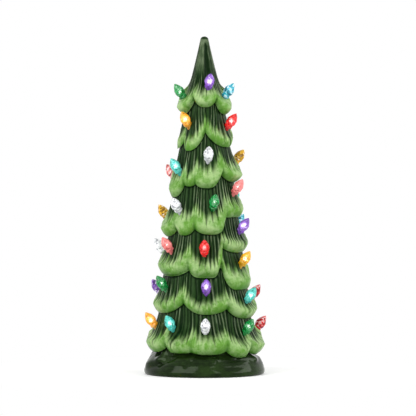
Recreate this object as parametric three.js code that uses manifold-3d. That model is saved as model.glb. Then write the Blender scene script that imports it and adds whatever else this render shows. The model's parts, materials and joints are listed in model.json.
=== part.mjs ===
// A small lighted tree for a shelf: a hollow glazed tree with drooping boughs, standing on a
// glazed base, with coloured plastic bulbs plugged into its wall. A battery lamp on a plastic
// plate closes the base from below and lights every bulb from inside the hollow tree.
//
// Units are millimetres and +Z is up. The origin is on the table under the tree's axis, and
// the front of the tree faces -Y. A "turn" is an azimuth in degrees: 0 at the front, 90 at +X.

import * as THREE from 'three';
import { mergeVertices } from 'three/addons/utils/BufferGeometryUtils.js';
import Module from 'manifold-3d';

const wasm = await Module();
wasm.setup();

// Clearances
const SEAT_GAP = 0.2; // between the tree's foot and the base that it stands on
const PLUG_GAP = 0.3; // round a bulb's peg and collar in the tree's wall
const FIT_GAP = 0.3; // between pieces of the lamp, and round the lamp in the base

// Tree: the plain cone that every bough grows from, measured from the tree's own foot
const TREE_HEIGHT = 185.5;
const TIP_RADIUS = 2.4;
const TIP_DOME = 1.9; // height of the rounded tip
const TIP_WALL = 12; // solid clay above the hollow
const CROWN_HEIGHT = 40.5; // length of the slim crown, from the tip to the body
const WAIST_RADIUS = 11.4;
const FOOT_RADIUS = 29.5;
const WALL = 2.8;
const HOLLOW_TIP_RADIUS = 1.2;
const HOLLOW_TIP_HEIGHT = 2; // height of the hollow's pointed end

// Boughs: each tier is a ring of lobes with a rolled lower edge
const LIP = 1.0; // how far an edge stands out from the tier below it
const FOOT_LIP = 2.4; // the same for the lowest tier, which hangs clear of the base
const UNDERCUT = 0.8; // how far the edge's underside rises to the tier below
const FOOT_SKIRT = 1.3; // least height of plain wall between the lowest tier and the foot
const HIDDEN_BELOW = 0.6; // a lobe that would end above its upper neighbour keeps this little height
const FULL_BULGE_AT = 8; // a lobe this tall shows its whole bulge
const TIER_TOP_REACH = 4; // how far above its upper neighbour's edge a tier starts to flare
const TOP_WINDOW = 15; // degrees between the samples that smooth a tier's top

// Tree mesh
const COLUMNS = 60;
const HOLLOW_SIDES = 24;
const CURL_STEPS = [50, 90];
// Rows down a tier's sheet: the share of the way to its widest line, and how much is carved there
const SHEET_STEPS = [[0.4, 1], [0.72, 0.8], [1, 0]];
const CROWN_STEPS = [[0.16, 0.7], [0.34, 1], [0.55, 1], [0.76, 0.6], [1, 0]];

// Carving: the main grooves between the needles, which run straight down every tier
const GROOVES = COLUMNS / 2;
const CROWN_GROOVES = 10;
const GROOVE_TURN = 180 / GROOVES; // turn of the first groove
const GROOVE_DEPTH = 0.6;
const GROOVE_FULL_RADIUS = 20; // on a slimmer part of the tree they are shallower in step
const CROWN_GROOVE_DEPTH = 0.8;
const CROWN_GROOVE_FULL_RADIUS = 10;

// Bulbs
const BULB_LENGTH = 9.8; // from the collar's foot to the tip
const BULB_RADIUS = 3.05;
const COLLAR_RADIUS = 2.45;
const COLLAR_HEIGHT = 1.5;
const PEG_RADIUS = 1.3;
const PEG_LENGTH = 7.5;
const NECK_HEIGHT = 0.6; // from the peg out to the collar
const BULB_SIDES = 8;
const BULB_TWIST = 16; // degrees between one ring of facets and the next
const BULB_LEAN = 36; // degrees from upright
const BULB_STAND_OUT = 0.9; // how far the collar's centre stands out of the wall
const HOLE_LENGTH = 18; // drilled from the collar right through the wall

// Base
const BASE_HEIGHT = 14.3; // seat of the tree above the table
const BASE_RADIUS = 35.9;
const BASE_WIDEST_AT = 3.2;
const BASE_EDGE = 1.1; // how far the lower edge is rounded in
const BASE_SHOULDER = 0.8; // how far the seat ends inside the tree's foot
const BASE_RIM = 8.7; // from the outside to the pocket for the lamp's plate
const LEDGE_WIDTH = 4.6; // the ledge inside that the plate closes against
const COLLAR_WALL = 2.2; // the ring on the base that keeps the tree centred
const COLLAR_RISE = 4.5;
const LUMP_HEIGHT = 0.5; // the uneven ground modelled round the base
const BASE_COLUMNS = 48;

// Battery lamp
const PLATE_THICKNESS = 3;
const PLATE_UNDERSIDE = 1; // above the table
const CELL_RADIUS = 5.25; // AAA
const CELL_LENGTH = 44.5;
const CELL_NUB_RADIUS = 1.9;
const CELL_NUB_HEIGHT = 1;
const CELL_GAP = 0.4; // between the two cells, side by side
const SLEEVE_WALL = 1.5;
const SLEEVE_ROOF = 1.6;
const DOOR_THICKNESS = 1.6;
const DOOR_LIP = 1.6; // how far the door reaches past the sleeve's opening
const THUMB_RADIUS = 3.2; // finger hollow in the door
const THUMB_DEPTH = 0.7;
const THUMB_OFFSET = 2; // beyond the axis of a cell
const CONTACT_THICKNESS = 0.4;
const CONTACT_WIDTH = 5;
const CONTACT_SPRING = 1.8; // height of a contact's bowed spring
const TAB_WIDTH = 2.4;
const TAB_INSET = 1.4; // inside the side of a cell
const POST_RADIUS = 1.2;
const POST_HEIGHT = 2.2;
const POST_INSET = 0.4; // inside the edge of the sleeve
const BOARD_RADIUS = 10.5;
const BOARD_THICKNESS = 1.2;
const LED_RADIUS = 2.5;
const LED_FLANGE_RADIUS = 2.9;
const LED_FLANGE_HEIGHT = 1;
const LED_HEIGHT = 8.6;
const LED_CIRCLE_RADIUS = 5.4;
const LED_COUNT = 3;
const SWITCH_LENGTH = 8.6;
const SWITCH_DEPTH = 3.8;
const SWITCH_HEIGHT = 3.6;
const SWITCH_GAP = 5.6; // behind the sleeve
const SWITCH_TRAVEL = 3;
const KNOB_LENGTH = 2.6;
const KNOB_DEPTH = 1.6;
const KNOB_DROP = 0.5; // how far the knob stands out of the plate
const LEAD_RADIUS = 0.8;
const LEAD_GAP = 1.5; // between the sleeve and the lead that climbs behind it

// A lobe hangs to height low at turn tip, where it stands out of the plain cone by out. On
// its right it meets the next lobe in a notch, at turn notch and height notchAt. Both heights
// are in percent of the tree's height, so that the tiers spread over a taller tree. A lobe
// with a higher square has a flatter bottom and steeper sides.
const lobe = (tip, low, out, notch, notchAt, square = 2.4) => (
  { tip, low, out, notch, notchAt, square }
);

// curl is the height of the rolled edge, crease the depth of the fold between two lobes,
// straight the share of the flare that is a plain slope, and power how late the rest comes.
const TIERS = [
  { name: 'crown', curl: 3.4, crease: 1.4, straight: 0.08, power: 6, lobes: [
    lobe(1, 77.4, 4.8, 31, 79),
    lobe(63, 75, 5.3, 96, 79.5),
    lobe(124, 76.8, 4.6, 152, 79),
    lobe(180, 76, 4.6, -148, 79.5),
    lobe(-118, 77, 4.6, -94, 79.1),
    lobe(-63, 75.3, 5.2, -29, 79.6),
  ] },
  { name: 'tier_2', curl: 3.8, crease: 1.2, straight: 0.4, power: 3, lobes: [
    lobe(56, 64.7, 4.4, 94, 68.5),
    lobe(122, 64.7, 3.4, 150, 68.2),
    lobe(176, 66, 3.2, -156, 69.3),
    lobe(-122, 64.5, 2.8, -98, 67.7),
    lobe(-82, 64.2, 2, -56, 66.2),
    lobe(-38, 63.6, 2.3, 2, 69.5),
  ] },
  { name: 'tier_3', curl: 4.2, crease: 1.3, straight: 0.5, power: 3, lobes: [
    lobe(4, 51.8, 4.7, 34, 56, 2.8),
    lobe(68, 53.5, 6.6, 100, 56.8),
    lobe(124, 52.2, 5.2, 148, 55.6),
    lobe(170, 50.2, 4.8, -164, 53.6),
    lobe(-136, 51.3, 4.8, -106, 53.9),
    lobe(-66, 48.8, 4.4, -41, 52.7, 2.8),
    lobe(-29, 52.3, 3.9, -17, 53.1),
  ] },
  { name: 'tier_4', curl: 4.8, crease: 1.4, straight: 0.45, power: 3, lobes: [
    lobe(12, 37.1, 4.8, 38, 42.4, 3),
    lobe(68, 42.4, 4.6, 104, 45.2, 3),
    lobe(128, 40.9, 4.9, 152, 43.9),
    lobe(176, 38.3, 5.1, -160, 41.8),
    lobe(-132, 36.8, 5.1, -104, 40.2),
    lobe(-74, 36.2, 5.6, -49, 38.4),
    lobe(-34, 36.8, 5, -15, 38.9, 2.8),
  ] },
  { name: 'tier_5', curl: 5, crease: 1.5, straight: 0.35, power: 3.2, lobes: [
    lobe(5, 23.8, 4.4, 27, 33, 4.8),
    lobe(64, 31.2, 5.3, 102, 34.2, 3),
    lobe(124, 29.9, 4.9, 148, 33.7),
    lobe(172, 26.1, 4.6, -164, 31),
    lobe(-134, 24.4, 4.9, -106, 27.8),
    lobe(-62, 24.1, 5.3, -22, 26.2, 3),
  ] },
  { name: 'tier_6', curl: 4.8, crease: 1.4, straight: 0.4, power: 3, lobes: [
    lobe(-20, 27.8, 2.8, 25, 26.4),
    lobe(54, 19.5, 4.4, 96, 23.6, 4.6),
    lobe(122, 17.9, 4.2, 150, 21.6),
    lobe(176, 19.5, 3.7, -150, 27.8),
    lobe(-90, 28.8, 3, -60, 28.8),
  ] },
  { name: 'tier_7', curl: 4.8, crease: 1.4, straight: 0.4, power: 3, lobes: [
    lobe(2, 11.9, 4.9, 29, 13.5),
    lobe(60, 10.3, 6.3, 100, 13.8, 3),
    lobe(124, 9.8, 5.4, 146, 13),
    lobe(168, 11.1, 5.2, -166, 14.6),
    lobe(-138, 12.3, 5, -108, 15.2),
    lobe(-66, 12, 4.8, -27, 15.4, 2.8),
  ] },
  { name: 'tier_8', curl: 5.4, crease: 1.4, straight: 0.35, power: 3.4, lobes: [
    lobe(5, -0.7, 6.8, 24, 0.3, 3),
    lobe(43, -1.8, 7, 54, 0.3, 3),
    lobe(70, -1.2, 7.7, 98, 2.2, 3),
    lobe(118, -0.6, 7.2, 138, 2, 3),
    lobe(157, -0.8, 7, 176, 1.8, 3),
    lobe(-166, -0.4, 6.9, -148, 2.1, 3),
    lobe(-126, -0.7, 6.9, -98, 1.9, 3),
    lobe(-68, -0.4, 6.7, -46, 1.6, 3),
    lobe(-30, -0.3, 6.5, -14, 0.1, 4),
  ] },
];

// A bulb on a tier: its turn, the height of its seat in percent, and its colour.
const bulb = (turn, height, colour) => ({ turn, height, colour });
const BULBS = {
  crown: [
    bulb(13, 83.9, 'purple'), bulb(68, 80.8, 'sky'), bulb(-68, 80.6, 'green'),
    bulb(176, 82, 'amber'),
  ],
  tier_2: [
    bulb(-42, 71.8, 'amber'), bulb(62, 71.2, 'red'), bulb(126, 70.6, 'clear'),
    bulb(-152, 70.3, 'purple'),
  ],
  tier_3: [
    bulb(7, 60.9, 'clear'), bulb(109, 59.6, 'gold'), bulb(-53, 57, 'teal'),
    bulb(-125, 54.8, 'pink'), bulb(152, 58.2, 'green'), bulb(-166, 57, 'red'),
  ],
  tier_4: [
    bulb(14, 45.8, 'green'), bulb(-43, 44.6, 'clear'), bulb(61, 50.3, 'pink'),
    bulb(-115, 41.9, 'gold'), bulb(134, 46.6, 'teal'), bulb(174, 44.6, 'sky'),
  ],
  tier_5: [
    bulb(0, 31.4, 'red'), bulb(-55, 32, 'pink'), bulb(64, 38, 'purple'),
    bulb(124, 38.8, 'sky'), bulb(-110, 31.1, 'clear'), bulb(168, 33.8, 'gold'),
    bulb(-150, 31, 'amber'),
  ],
  tier_6: [bulb(60, 27.5, 'gold'), bulb(142, 25.4, 'purple')],
  tier_7: [
    bulb(2, 19.1, 'purple'), bulb(-58, 19.8, 'green'), bulb(59, 16.1, 'teal'),
    bulb(108, 16.2, 'red'), bulb(-117, 17.8, 'purple'), bulb(150, 17.1, 'pink'),
    bulb(-158, 18.7, 'teal'),
  ],
  tier_8: [
    bulb(1, 6.8, 'clear'), bulb(-38, 7.5, 'teal'), bulb(-74, 7.9, 'amber'),
    bulb(51, 6.2, 'green'), bulb(104, 6.2, 'red'), bulb(173, 6.9, 'sky'),
    bulb(-138, 7.1, 'gold'),
  ],
};

const COLOURS = {
  purple: 0x7a3fc0, sky: 0x56b4e0, green: 0x0b8f45, amber: 0xf59a1c, red: 0xe01a20,
  clear: 0xf2f4f4, gold: 0xf2b81a, teal: 0x36c6b0, pink: 0xf0848c,
};

const rad = THREE.MathUtils.degToRad;
const mix = THREE.MathUtils.lerp;

// Meshes and solids

// Joins rings of points into one closed surface. ringsAt(turn) lists [radius, height, twist]
// from one end to the other; an end on the axis becomes a point, and if neither end lies on
// the axis the last ring closes back onto the first.
function revolve(columns, ringsAt) {
  const turns = Array.from({ length: columns }, (_, i) => (360 * i) / columns);
  const rows = turns.map((turn) => ringsAt(turn));
  const count = rows[0].length;
  const onAxis = (row) => rows[0][row][0] < 1e-6;
  const positions = [];
  const first = [];
  for (let row = 0; row < count; row += 1) {
    first.push(positions.length / 3);
    const points = onAxis(row) ? 1 : columns;
    for (let column = 0; column < points; column += 1) {
      const [radius, height, twist = 0] = rows[column][row];
      const angle = rad(turns[column] + twist);
      positions.push(radius * Math.sin(angle), -radius * Math.cos(angle), height);
    }
  }
  const index = [];
  const at = (row, column) => first[row] + (onAxis(row) ? 0 : column % columns);
  const face = (a, b, c) => {
    if (a !== b && b !== c && a !== c) index.push(a, b, c);
  };
  const open = onAxis(0) && onAxis(count - 1);
  for (let row = 0; row < (open ? count - 1 : count); row += 1) {
    const next = (row + 1) % count;
    for (let column = 0; column < columns; column += 1) {
      face(at(row, column), at(next, column), at(next, column + 1));
      face(at(row, column), at(next, column + 1), at(row, column + 1));
    }
  }
  const geometry = new THREE.BufferGeometry();
  geometry.setAttribute('position', new THREE.Float32BufferAttribute(positions, 3));
  geometry.setIndex(index);
  return geometry;
}

function toSolid(geometry) {
  const bare = geometry.index ? geometry.toNonIndexed() : geometry.clone();
  bare.deleteAttribute('normal');
  bare.deleteAttribute('uv');
  const merged = mergeVertices(bare, 1e-4);
  return new wasm.Manifold(new wasm.Mesh({
    numProp: 3,
    vertProperties: merged.attributes.position.array,
    triVerts: new Uint32Array(merged.index.array),
  }));
}

function toGeometry(solid) {
  const mesh = solid.getMesh();
  const geometry = new THREE.BufferGeometry();
  geometry.setAttribute('position', new THREE.BufferAttribute(mesh.vertProperties, mesh.numProp));
  geometry.setIndex(new THREE.BufferAttribute(mesh.triVerts, 1));
  return geometry;
}

const subtract = (solid, cutters) => cutters.reduce((left, cutter) => left.subtract(cutter), solid);
const join = (solids) => solids.reduce((whole, solid) => whole.add(solid));

// A flat outline in X and Y, raised from height bottom to height top.
function slab(shape, bottom, top, curveSegments = 8) {
  const depth = top - bottom;
  const geometry = new THREE.ExtrudeGeometry(shape, { depth, bevelEnabled: false, curveSegments });
  return geometry.translate(0, 0, bottom);
}

function disc(radius, bottom, top, sides = 24, x = 0, y = 0) {
  const geometry = new THREE.CylinderGeometry(radius, radius, top - bottom, sides);
  return geometry.rotateX(Math.PI / 2).translate(x, y, (bottom + top) / 2);
}

function block(length, depth, bottom, top, x = 0, y = 0) {
  return new THREE.BoxGeometry(length, depth, top - bottom).translate(x, y, (bottom + top) / 2);
}

// From the lamp's axis to the axis of either cell.
const cellX = CELL_RADIUS + CELL_GAP / 2;

// Two half circles joined by straight sides, the outline that holds two cells side by side.
function stadium(radius) {
  const half = cellX;
  const shape = new THREE.Shape();
  shape.moveTo(-half, -radius);
  shape.lineTo(half, -radius);
  shape.absarc(half, 0, radius, -Math.PI / 2, Math.PI / 2, false);
  shape.lineTo(-half, radius);
  shape.absarc(-half, 0, radius, Math.PI / 2, (3 * Math.PI) / 2, false);
  return shape;
}

// The tree's surface

const percent = (share) => (TREE_HEIGHT * share) / 100;
const waistHeight = TREE_HEIGHT - CROWN_HEIGHT;
const crownTop = TREE_HEIGHT - TIP_DOME;

// Radius of the plain cone under the boughs.
function coreRadius(height) {
  if (height > waistHeight) {
    const share = (crownTop - height) / (crownTop - waistHeight);
    return mix(TIP_RADIUS, WAIST_RADIUS, Math.max(share, 0));
  }
  return mix(FOOT_RADIUS, WAIST_RADIUS, height / waistHeight);
}

// Degrees to go rightwards from one turn to another, 0 to 360.
const rightwards = (from, to) => (((to - from) % 360) + 360) % 360;

// The lower edge of a tier at a turn, as drawn in TIERS: its height and how far it stands out.
function drawnEdge(tier, turn) {
  const { lobes } = tier;
  const here = lobes.findIndex((one, i) => {
    const before = lobes[(i + lobes.length - 1) % lobes.length].notch;
    return rightwards(before, turn) < rightwards(before, one.notch);
  });
  const one = lobes[here];
  const before = lobes[(here + lobes.length - 1) % lobes.length];
  const after = lobes[(here + 1) % lobes.length];
  const onLeft = rightwards(before.notch, turn) < rightwards(before.notch, one.tip);
  const notch = onLeft
    ? { turn: before.notch, height: before.notchAt, out: (before.out + one.out) / 2 }
    : { turn: one.notch, height: one.notchAt, out: (one.out + after.out) / 2 };
  const span = onLeft ? rightwards(notch.turn, one.tip) : rightwards(one.tip, notch.turn);
  const gone = onLeft ? rightwards(turn, one.tip) : rightwards(one.tip, turn);
  const share = gone / span;
  return {
    low: percent(mix(one.low, notch.height, share ** one.square)),
    out: mix(one.out, notch.out - tier.crease, share ** 2),
  };
}

// The lower edge of tier number k as built. Where a tier would end above the tier over it,
// it shrinks to nothing and the tier below shows instead.
function edge(k, turn) {
  const drawn = drawnEdge(TIERS[k], turn);
  if (k === 0) return { ...drawn, shown: 1 };
  const above = edge(k - 1, turn).low;
  const shown = THREE.MathUtils.smoothstep(above - drawn.low, HIDDEN_BELOW, FULL_BULGE_AT);
  return { out: drawn.out, low: Math.min(drawn.low, above - HIDDEN_BELOW), shown };
}

// Height at which tier number k starts to flare, smoothed over the lobes above it.
function tierTop(k, turn) {
  if (k === 0) return crownTop;
  const samples = [-2, -1, 0, 1, 2].map((step) => edge(k - 1, turn + step * TOP_WINDOW).low);
  return samples.reduce((sum, low) => sum + low, 0) / samples.length + TIER_TOP_REACH;
}

// Radius of tier number k at a turn and height. Below the last tier comes the plain foot.
function tierRadius(k, turn, height) {
  if (k === TIERS.length) return coreRadius(height);
  const { straight, power, curl } = TIERS[k];
  const { low, out, shown } = edge(k, turn);
  const widest = low + curl;
  const top = tierTop(k, turn);
  const down = THREE.MathUtils.clamp((top - height) / (top - widest), 0, 1);
  const flare = straight * down + (1 - straight) * down ** power;
  const full = coreRadius(height) + out * flare;
  return shown < 1 ? mix(tierRadius(k + 1, turn, height), full, shown) : full;
}

// Depth of the carving on tier number k at a turn, where the uncarved surface has this radius.
function carving(k, turn, radius) {
  const count = k === 0 ? CROWN_GROOVES : GROOVES;
  const depth = k === 0
    ? CROWN_GROOVE_DEPTH * Math.min(radius / CROWN_GROOVE_FULL_RADIUS, 1)
    : GROOVE_DEPTH * Math.min(radius / GROOVE_FULL_RADIUS, 1);
  return depth * (0.5 + 0.5 * Math.cos(rad(count * (turn - GROOVE_TURN))));
}

// The points of tier number k down one column, from under the tier above to its own underside.
function tierPoints(k, turn, from, steps) {
  const { curl } = TIERS[k];
  const last = k === TIERS.length - 1;
  const { low, out, shown } = edge(k, turn);
  const roll = Math.min(curl, (from - low) * 0.45);
  const widest = low + roll;
  const outer = mix(tierRadius(k + 1, turn, widest), coreRadius(widest) + out, shown);
  const inner = tierRadius(k + 1, turn, low) + (last ? FOOT_LIP : LIP) * shown;
  const points = steps.map(([share, carved]) => {
    const height = mix(from, widest, share);
    const radius = share === 1 ? outer : tierRadius(k, turn, height);
    return [radius - carved * shown * carving(k, turn, radius), height];
  });
  for (const degrees of CURL_STEPS) {
    const inwards = 1 - Math.cos(rad(degrees));
    points.push([mix(outer, Math.min(inner, outer), inwards), widest - roll * Math.sin(rad(degrees))]);
  }
  const under = last ? Math.max(low + UNDERCUT, FOOT_SKIRT) : low + UNDERCUT * shown;
  points.push([tierRadius(k + 1, turn, under), under]);
  return points;
}

// The outside of the tree down one column, from the tip to the foot.
function treeColumn(turn) {
  let from = crownTop;
  const points = [
    [0, TREE_HEIGHT],
    [TIP_RADIUS * 0.5, TREE_HEIGHT - TIP_DOME * 0.14],
    [TIP_RADIUS * 0.86, TREE_HEIGHT - TIP_DOME * 0.5],
    [TIP_RADIUS, from],
  ];
  TIERS.forEach((tier, k) => {
    points.push(...tierPoints(k, turn, from, k === 0 ? CROWN_STEPS : SHEET_STEPS));
    [, from] = points.at(-1);
  });
  points.push([FOOT_RADIUS, 0], [0, 0]);
  return points;
}

// The inside, from its own tip down to just below the foot, so that the foot is open.
function hollowColumn() {
  const top = TREE_HEIGHT - TIP_WALL;
  const walls = [1, 0.7, 0.4, 0.15, 0].map((share) => waistHeight * share)
    .map((height) => [coreRadius(height) - WALL, height]);
  const foot = coreRadius(0) - WALL;
  return [[0, top], [HOLLOW_TIP_RADIUS, top - HOLLOW_TIP_HEIGHT], ...walls, [foot, -1], [0, -1]];
}

// Bulbs

// A bulb's outline from the end of its peg to its tip, grown by a gap where it cuts its seat.
// Each ring is turned against the last, which twists the facets.
function bulbRings(gap, pegLength) {
  const rings = [
    [0, -pegLength - gap, 0],
    [PEG_RADIUS, -pegLength - gap, 0],
    [PEG_RADIUS, -NECK_HEIGHT - gap, 0],
    [COLLAR_RADIUS, -gap, 0],
    [COLLAR_RADIUS, COLLAR_HEIGHT, 0],
    [BULB_RADIUS, BULB_LENGTH * 0.4, 1],
    [BULB_RADIUS * 0.72, BULB_LENGTH * 0.74, 2],
    [0, BULB_LENGTH + gap, 0],
  ];
  return rings.map(([radius, height, twists]) => [
    radius === 0 ? 0 : radius + gap, height, twists * BULB_TWIST,
  ]).reverse();
}

// Where a bulb sits on the wall: moves local +Z onto the bulb's axis.
function bulbPlace(k, one) {
  const height = percent(one.height);
  const radius = tierRadius(k, one.turn, height) + BULB_STAND_OUT;
  const place = new THREE.Matrix4().makeRotationZ(rad(one.turn));
  place.multiply(new THREE.Matrix4().makeTranslation(0, -radius, height));
  return place.multiply(new THREE.Matrix4().makeRotationX(rad(BULB_LEAN)));
}

const plugs = TIERS.flatMap((tier, k) => BULBS[tier.name].map((one, i) => ({
  name: `bulb_${tier.name}_${i + 1}_${one.colour}`,
  colour: one.colour,
  place: bulbPlace(k, one),
})));

const plugGeometry = revolve(BULB_SIDES, () => bulbRings(0, PEG_LENGTH));
const seatGeometry = revolve(BULB_SIDES, () => bulbRings(PLUG_GAP, HOLE_LENGTH));

function makeTree() {
  const outside = toSolid(revolve(COLUMNS, treeColumn));
  const hollow = toSolid(revolve(HOLLOW_SIDES, hollowColumn));
  const seats = plugs.map(({ place }) => toSolid(seatGeometry.clone().applyMatrix4(place)));
  return toGeometry(subtract(outside, [hollow, ...seats]));
}

// Base

const plateRadius = BASE_RADIUS - BASE_RIM;
const plateTop = PLATE_UNDERSIDE + PLATE_THICKNESS;
const collarTop = BASE_HEIGHT + COLLAR_RISE;
const collarRadius = (coreRadius(COLLAR_RISE) - WALL) * Math.cos(Math.PI / HOLLOW_SIDES) - FIT_GAP;

// The lumps of the ground round the base, -1 to 1.
const lump = (turn) => 0.6 * Math.cos(rad(5 * turn + 40)) + 0.4 * Math.cos(rad(9 * turn - 70));

function baseColumn(turn) {
  const out = LUMP_HEIGHT * lump(turn);
  const shoulder = FOOT_RADIUS - BASE_SHOULDER;
  const ledge = plateTop + FIT_GAP;
  const pocket = plateRadius + FIT_GAP;
  const bore = Math.min(pocket - LEDGE_WIDTH, collarRadius - COLLAR_WALL);
  return [
    [collarRadius, collarTop],
    [collarRadius, BASE_HEIGHT],
    [shoulder, BASE_HEIGHT],
    [mix(shoulder, BASE_RADIUS, 0.27), mix(BASE_HEIGHT, BASE_WIDEST_AT, 0.24)],
    [mix(shoulder, BASE_RADIUS, 0.68) + out, mix(BASE_HEIGHT, BASE_WIDEST_AT, 0.54) + out],
    [mix(shoulder, BASE_RADIUS, 0.94), mix(BASE_HEIGHT, BASE_WIDEST_AT, 0.78) + out],
    [BASE_RADIUS, BASE_WIDEST_AT],
    [BASE_RADIUS - BASE_EDGE * 0.3, BASE_WIDEST_AT * 0.3],
    [BASE_RADIUS - BASE_EDGE, 0],
    [pocket, 0],
    [pocket, ledge],
    [bore, ledge],
    [bore, collarTop],
  ];
}

// Battery lamp: heights from the plate upwards

const doorTop = PLATE_UNDERSIDE + DOOR_THICKNESS;
const bayRadius = CELL_RADIUS + FIT_GAP;
const sleeveRadius = bayRadius + SLEEVE_WALL;
const doorRadius = bayRadius + DOOR_LIP;
const cellFoot = doorTop + CONTACT_THICKNESS + CONTACT_SPRING + FIT_GAP;
const cellHead = cellFoot + CELL_LENGTH;
const bayTop = cellHead + CONTACT_SPRING + CONTACT_THICKNESS + FIT_GAP;
const sleeveTop = bayTop + SLEEVE_ROOF;
const postTop = sleeveTop + POST_HEIGHT;
const boardTop = postTop + BOARD_THICKNESS;
const tabTop = postTop - FIT_GAP;
const tabX = cellX + CELL_RADIUS - TAB_INSET;
const postY = sleeveRadius - POST_RADIUS - POST_INSET;
const switchY = sleeveRadius + SWITCH_GAP + SWITCH_DEPTH / 2;
const leadY = sleeveRadius + LEAD_GAP + LEAD_RADIUS;

function makeLampBody() {
  const plate = disc(plateRadius, PLATE_UNDERSIDE, plateTop, 48);
  const sleeve = slab(stadium(sleeveRadius), plateTop - 0.5, sleeveTop);
  const posts = [-1, 1].map((side) => disc(POST_RADIUS, sleeveTop - 0.5, postTop, 10, 0, side * postY));
  const bay = slab(stadium(bayRadius), PLATE_UNDERSIDE - 1, bayTop);
  const doorSeat = slab(stadium(doorRadius + FIT_GAP), PLATE_UNDERSIDE - 1, doorTop + FIT_GAP);
  const slotLength = KNOB_LENGTH + SWITCH_TRAVEL + 2 * FIT_GAP;
  const knobSlot = block(slotLength, KNOB_DEPTH + 2 * FIT_GAP, 0, plateTop + 1, 0, switchY);
  const tabSlots = [-1, 1].map((side) => block(
    CONTACT_THICKNESS + 2 * FIT_GAP, TAB_WIDTH + 2 * FIT_GAP, bayTop - 1, sleeveTop + 1, side * tabX,
  ));
  const body = join([plate, sleeve, ...posts].map(toSolid));
  return toGeometry(subtract(body, [bay, doorSeat, knobSlot, ...tabSlots].map(toSolid)));
}

function makeDoor() {
  const door = toSolid(slab(stadium(doorRadius), PLATE_UNDERSIDE, doorTop));
  const thumb = revolve(24, () => [
    [0, PLATE_UNDERSIDE + THUMB_DEPTH],
    [THUMB_RADIUS * 0.45, PLATE_UNDERSIDE + THUMB_DEPTH * 0.85],
    [THUMB_RADIUS * 0.8, PLATE_UNDERSIDE + THUMB_DEPTH * 0.45],
    [THUMB_RADIUS, PLATE_UNDERSIDE],
    [THUMB_RADIUS, 0],
    [0, 0],
  ]).translate(cellX + THUMB_OFFSET, 0, 0);
  return toGeometry(door.subtract(toSolid(thumb)));
}

// A contact is one bent strip of metal: an outline in X and Z, made CONTACT_WIDTH wide.
function strip(points, width = CONTACT_WIDTH) {
  const shape = new THREE.Shape(points.map(([x, z]) => new THREE.Vector2(x, z)));
  const geometry = new THREE.ExtrudeGeometry(shape, { depth: width, bevelEnabled: false });
  return geometry.rotateX(Math.PI / 2).translate(0, width / 2, 0);
}

// A strip under both cells on the door. One end is folded back over it as a leaf spring.
function makeDoorContact() {
  const top = doorTop + CONTACT_THICKNESS;
  const bow = top + CONTACT_SPRING;
  return strip([
    [-cellX - 3, doorTop], [cellX + 3.4, doorTop], [cellX + 3.4, top + 0.2],
    [cellX + 0.8, bow], [cellX - 0.8, bow], [cellX - 3, top + 0.5], [cellX - 2.8, top + 0.15],
    [cellX - 0.6, bow - CONTACT_THICKNESS], [cellX + 0.6, bow - CONTACT_THICKNESS],
    [cellX + 2.8, top], [-cellX - 3, top],
  ]);
}

// A pad on top of a cell with a tab that rises through the sleeve's roof to the board.
function makeTerminal(side, sprung) {
  const top = bayTop - FIT_GAP / 2;
  const bottom = top - CONTACT_THICKNESS;
  const x = cellX;
  const tab = tabX;
  const bow = bottom - CONTACT_SPRING + FIT_GAP;
  const pad = sprung
    ? [[x - 3, top], [x - 3, bottom], [x - 2.2, bottom], [x - 0.8, bow], [x + 0.8, bow],
      [x + 2.2, bottom], [tab + 0.2, bottom]]
    : [[x - 3, top], [x - 3, bottom], [x - 2.6, bow - 0.05], [x + 1.6, bow - 0.05],
      [x + 2.4, bottom], [tab + 0.2, bottom]];
  const plate = strip([...pad, [tab + 0.2, top]].map(([px, pz]) => [side * px, pz]), CONTACT_WIDTH);
  const riser = block(CONTACT_THICKNESS, TAB_WIDTH, bottom, tabTop, side * tab);
  return toGeometry(toSolid(plate).add(toSolid(riser)));
}

function makeCell(x, upsideDown) {
  const rings = [
    [0, CELL_LENGTH], [CELL_NUB_RADIUS, CELL_LENGTH],
    [CELL_NUB_RADIUS, CELL_LENGTH - CELL_NUB_HEIGHT], [CELL_RADIUS, CELL_LENGTH - CELL_NUB_HEIGHT],
    [CELL_RADIUS, 0], [0, 0],
  ];
  const geometry = revolve(16, () => rings);
  if (upsideDown) geometry.rotateX(Math.PI).translate(0, 0, CELL_LENGTH);
  return geometry.translate(x, 0, cellFoot);
}

function makeLed(turn) {
  const foot = boardTop + FIT_GAP / 3;
  const dome = LED_HEIGHT - LED_RADIUS;
  const arc = [70, 45, 20, 0].map((degrees) => [
    LED_RADIUS * Math.cos(rad(degrees)), dome + LED_RADIUS * Math.sin(rad(degrees)),
  ]);
  const rings = [
    [0, LED_HEIGHT], ...arc, [LED_RADIUS, LED_FLANGE_HEIGHT],
    [LED_FLANGE_RADIUS, LED_FLANGE_HEIGHT], [LED_FLANGE_RADIUS, 0], [0, 0],
  ];
  const x = LED_CIRCLE_RADIUS * Math.sin(rad(turn));
  const y = -LED_CIRCLE_RADIUS * Math.cos(rad(turn));
  return revolve(12, () => rings).translate(x, y, foot);
}

function makeSwitchBody() {
  return block(SWITCH_LENGTH, SWITCH_DEPTH, plateTop, plateTop + SWITCH_HEIGHT, 0, switchY);
}

// The knob hangs from the switch through its slot, at the off end of its travel.
function makeKnob() {
  const bottom = PLATE_UNDERSIDE - KNOB_DROP;
  const top = plateTop - FIT_GAP / 2;
  const x = -SWITCH_TRAVEL / 2;
  const stem = toSolid(block(KNOB_LENGTH, KNOB_DEPTH, bottom, top, x, switchY));
  const groove = [-1, 0, 1].map((step) => toSolid(
    block(0.3, KNOB_DEPTH + 1, bottom - 1, bottom + 0.3, x + step * 0.8, switchY),
  ));
  return toGeometry(subtract(stem, groove));
}

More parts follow.
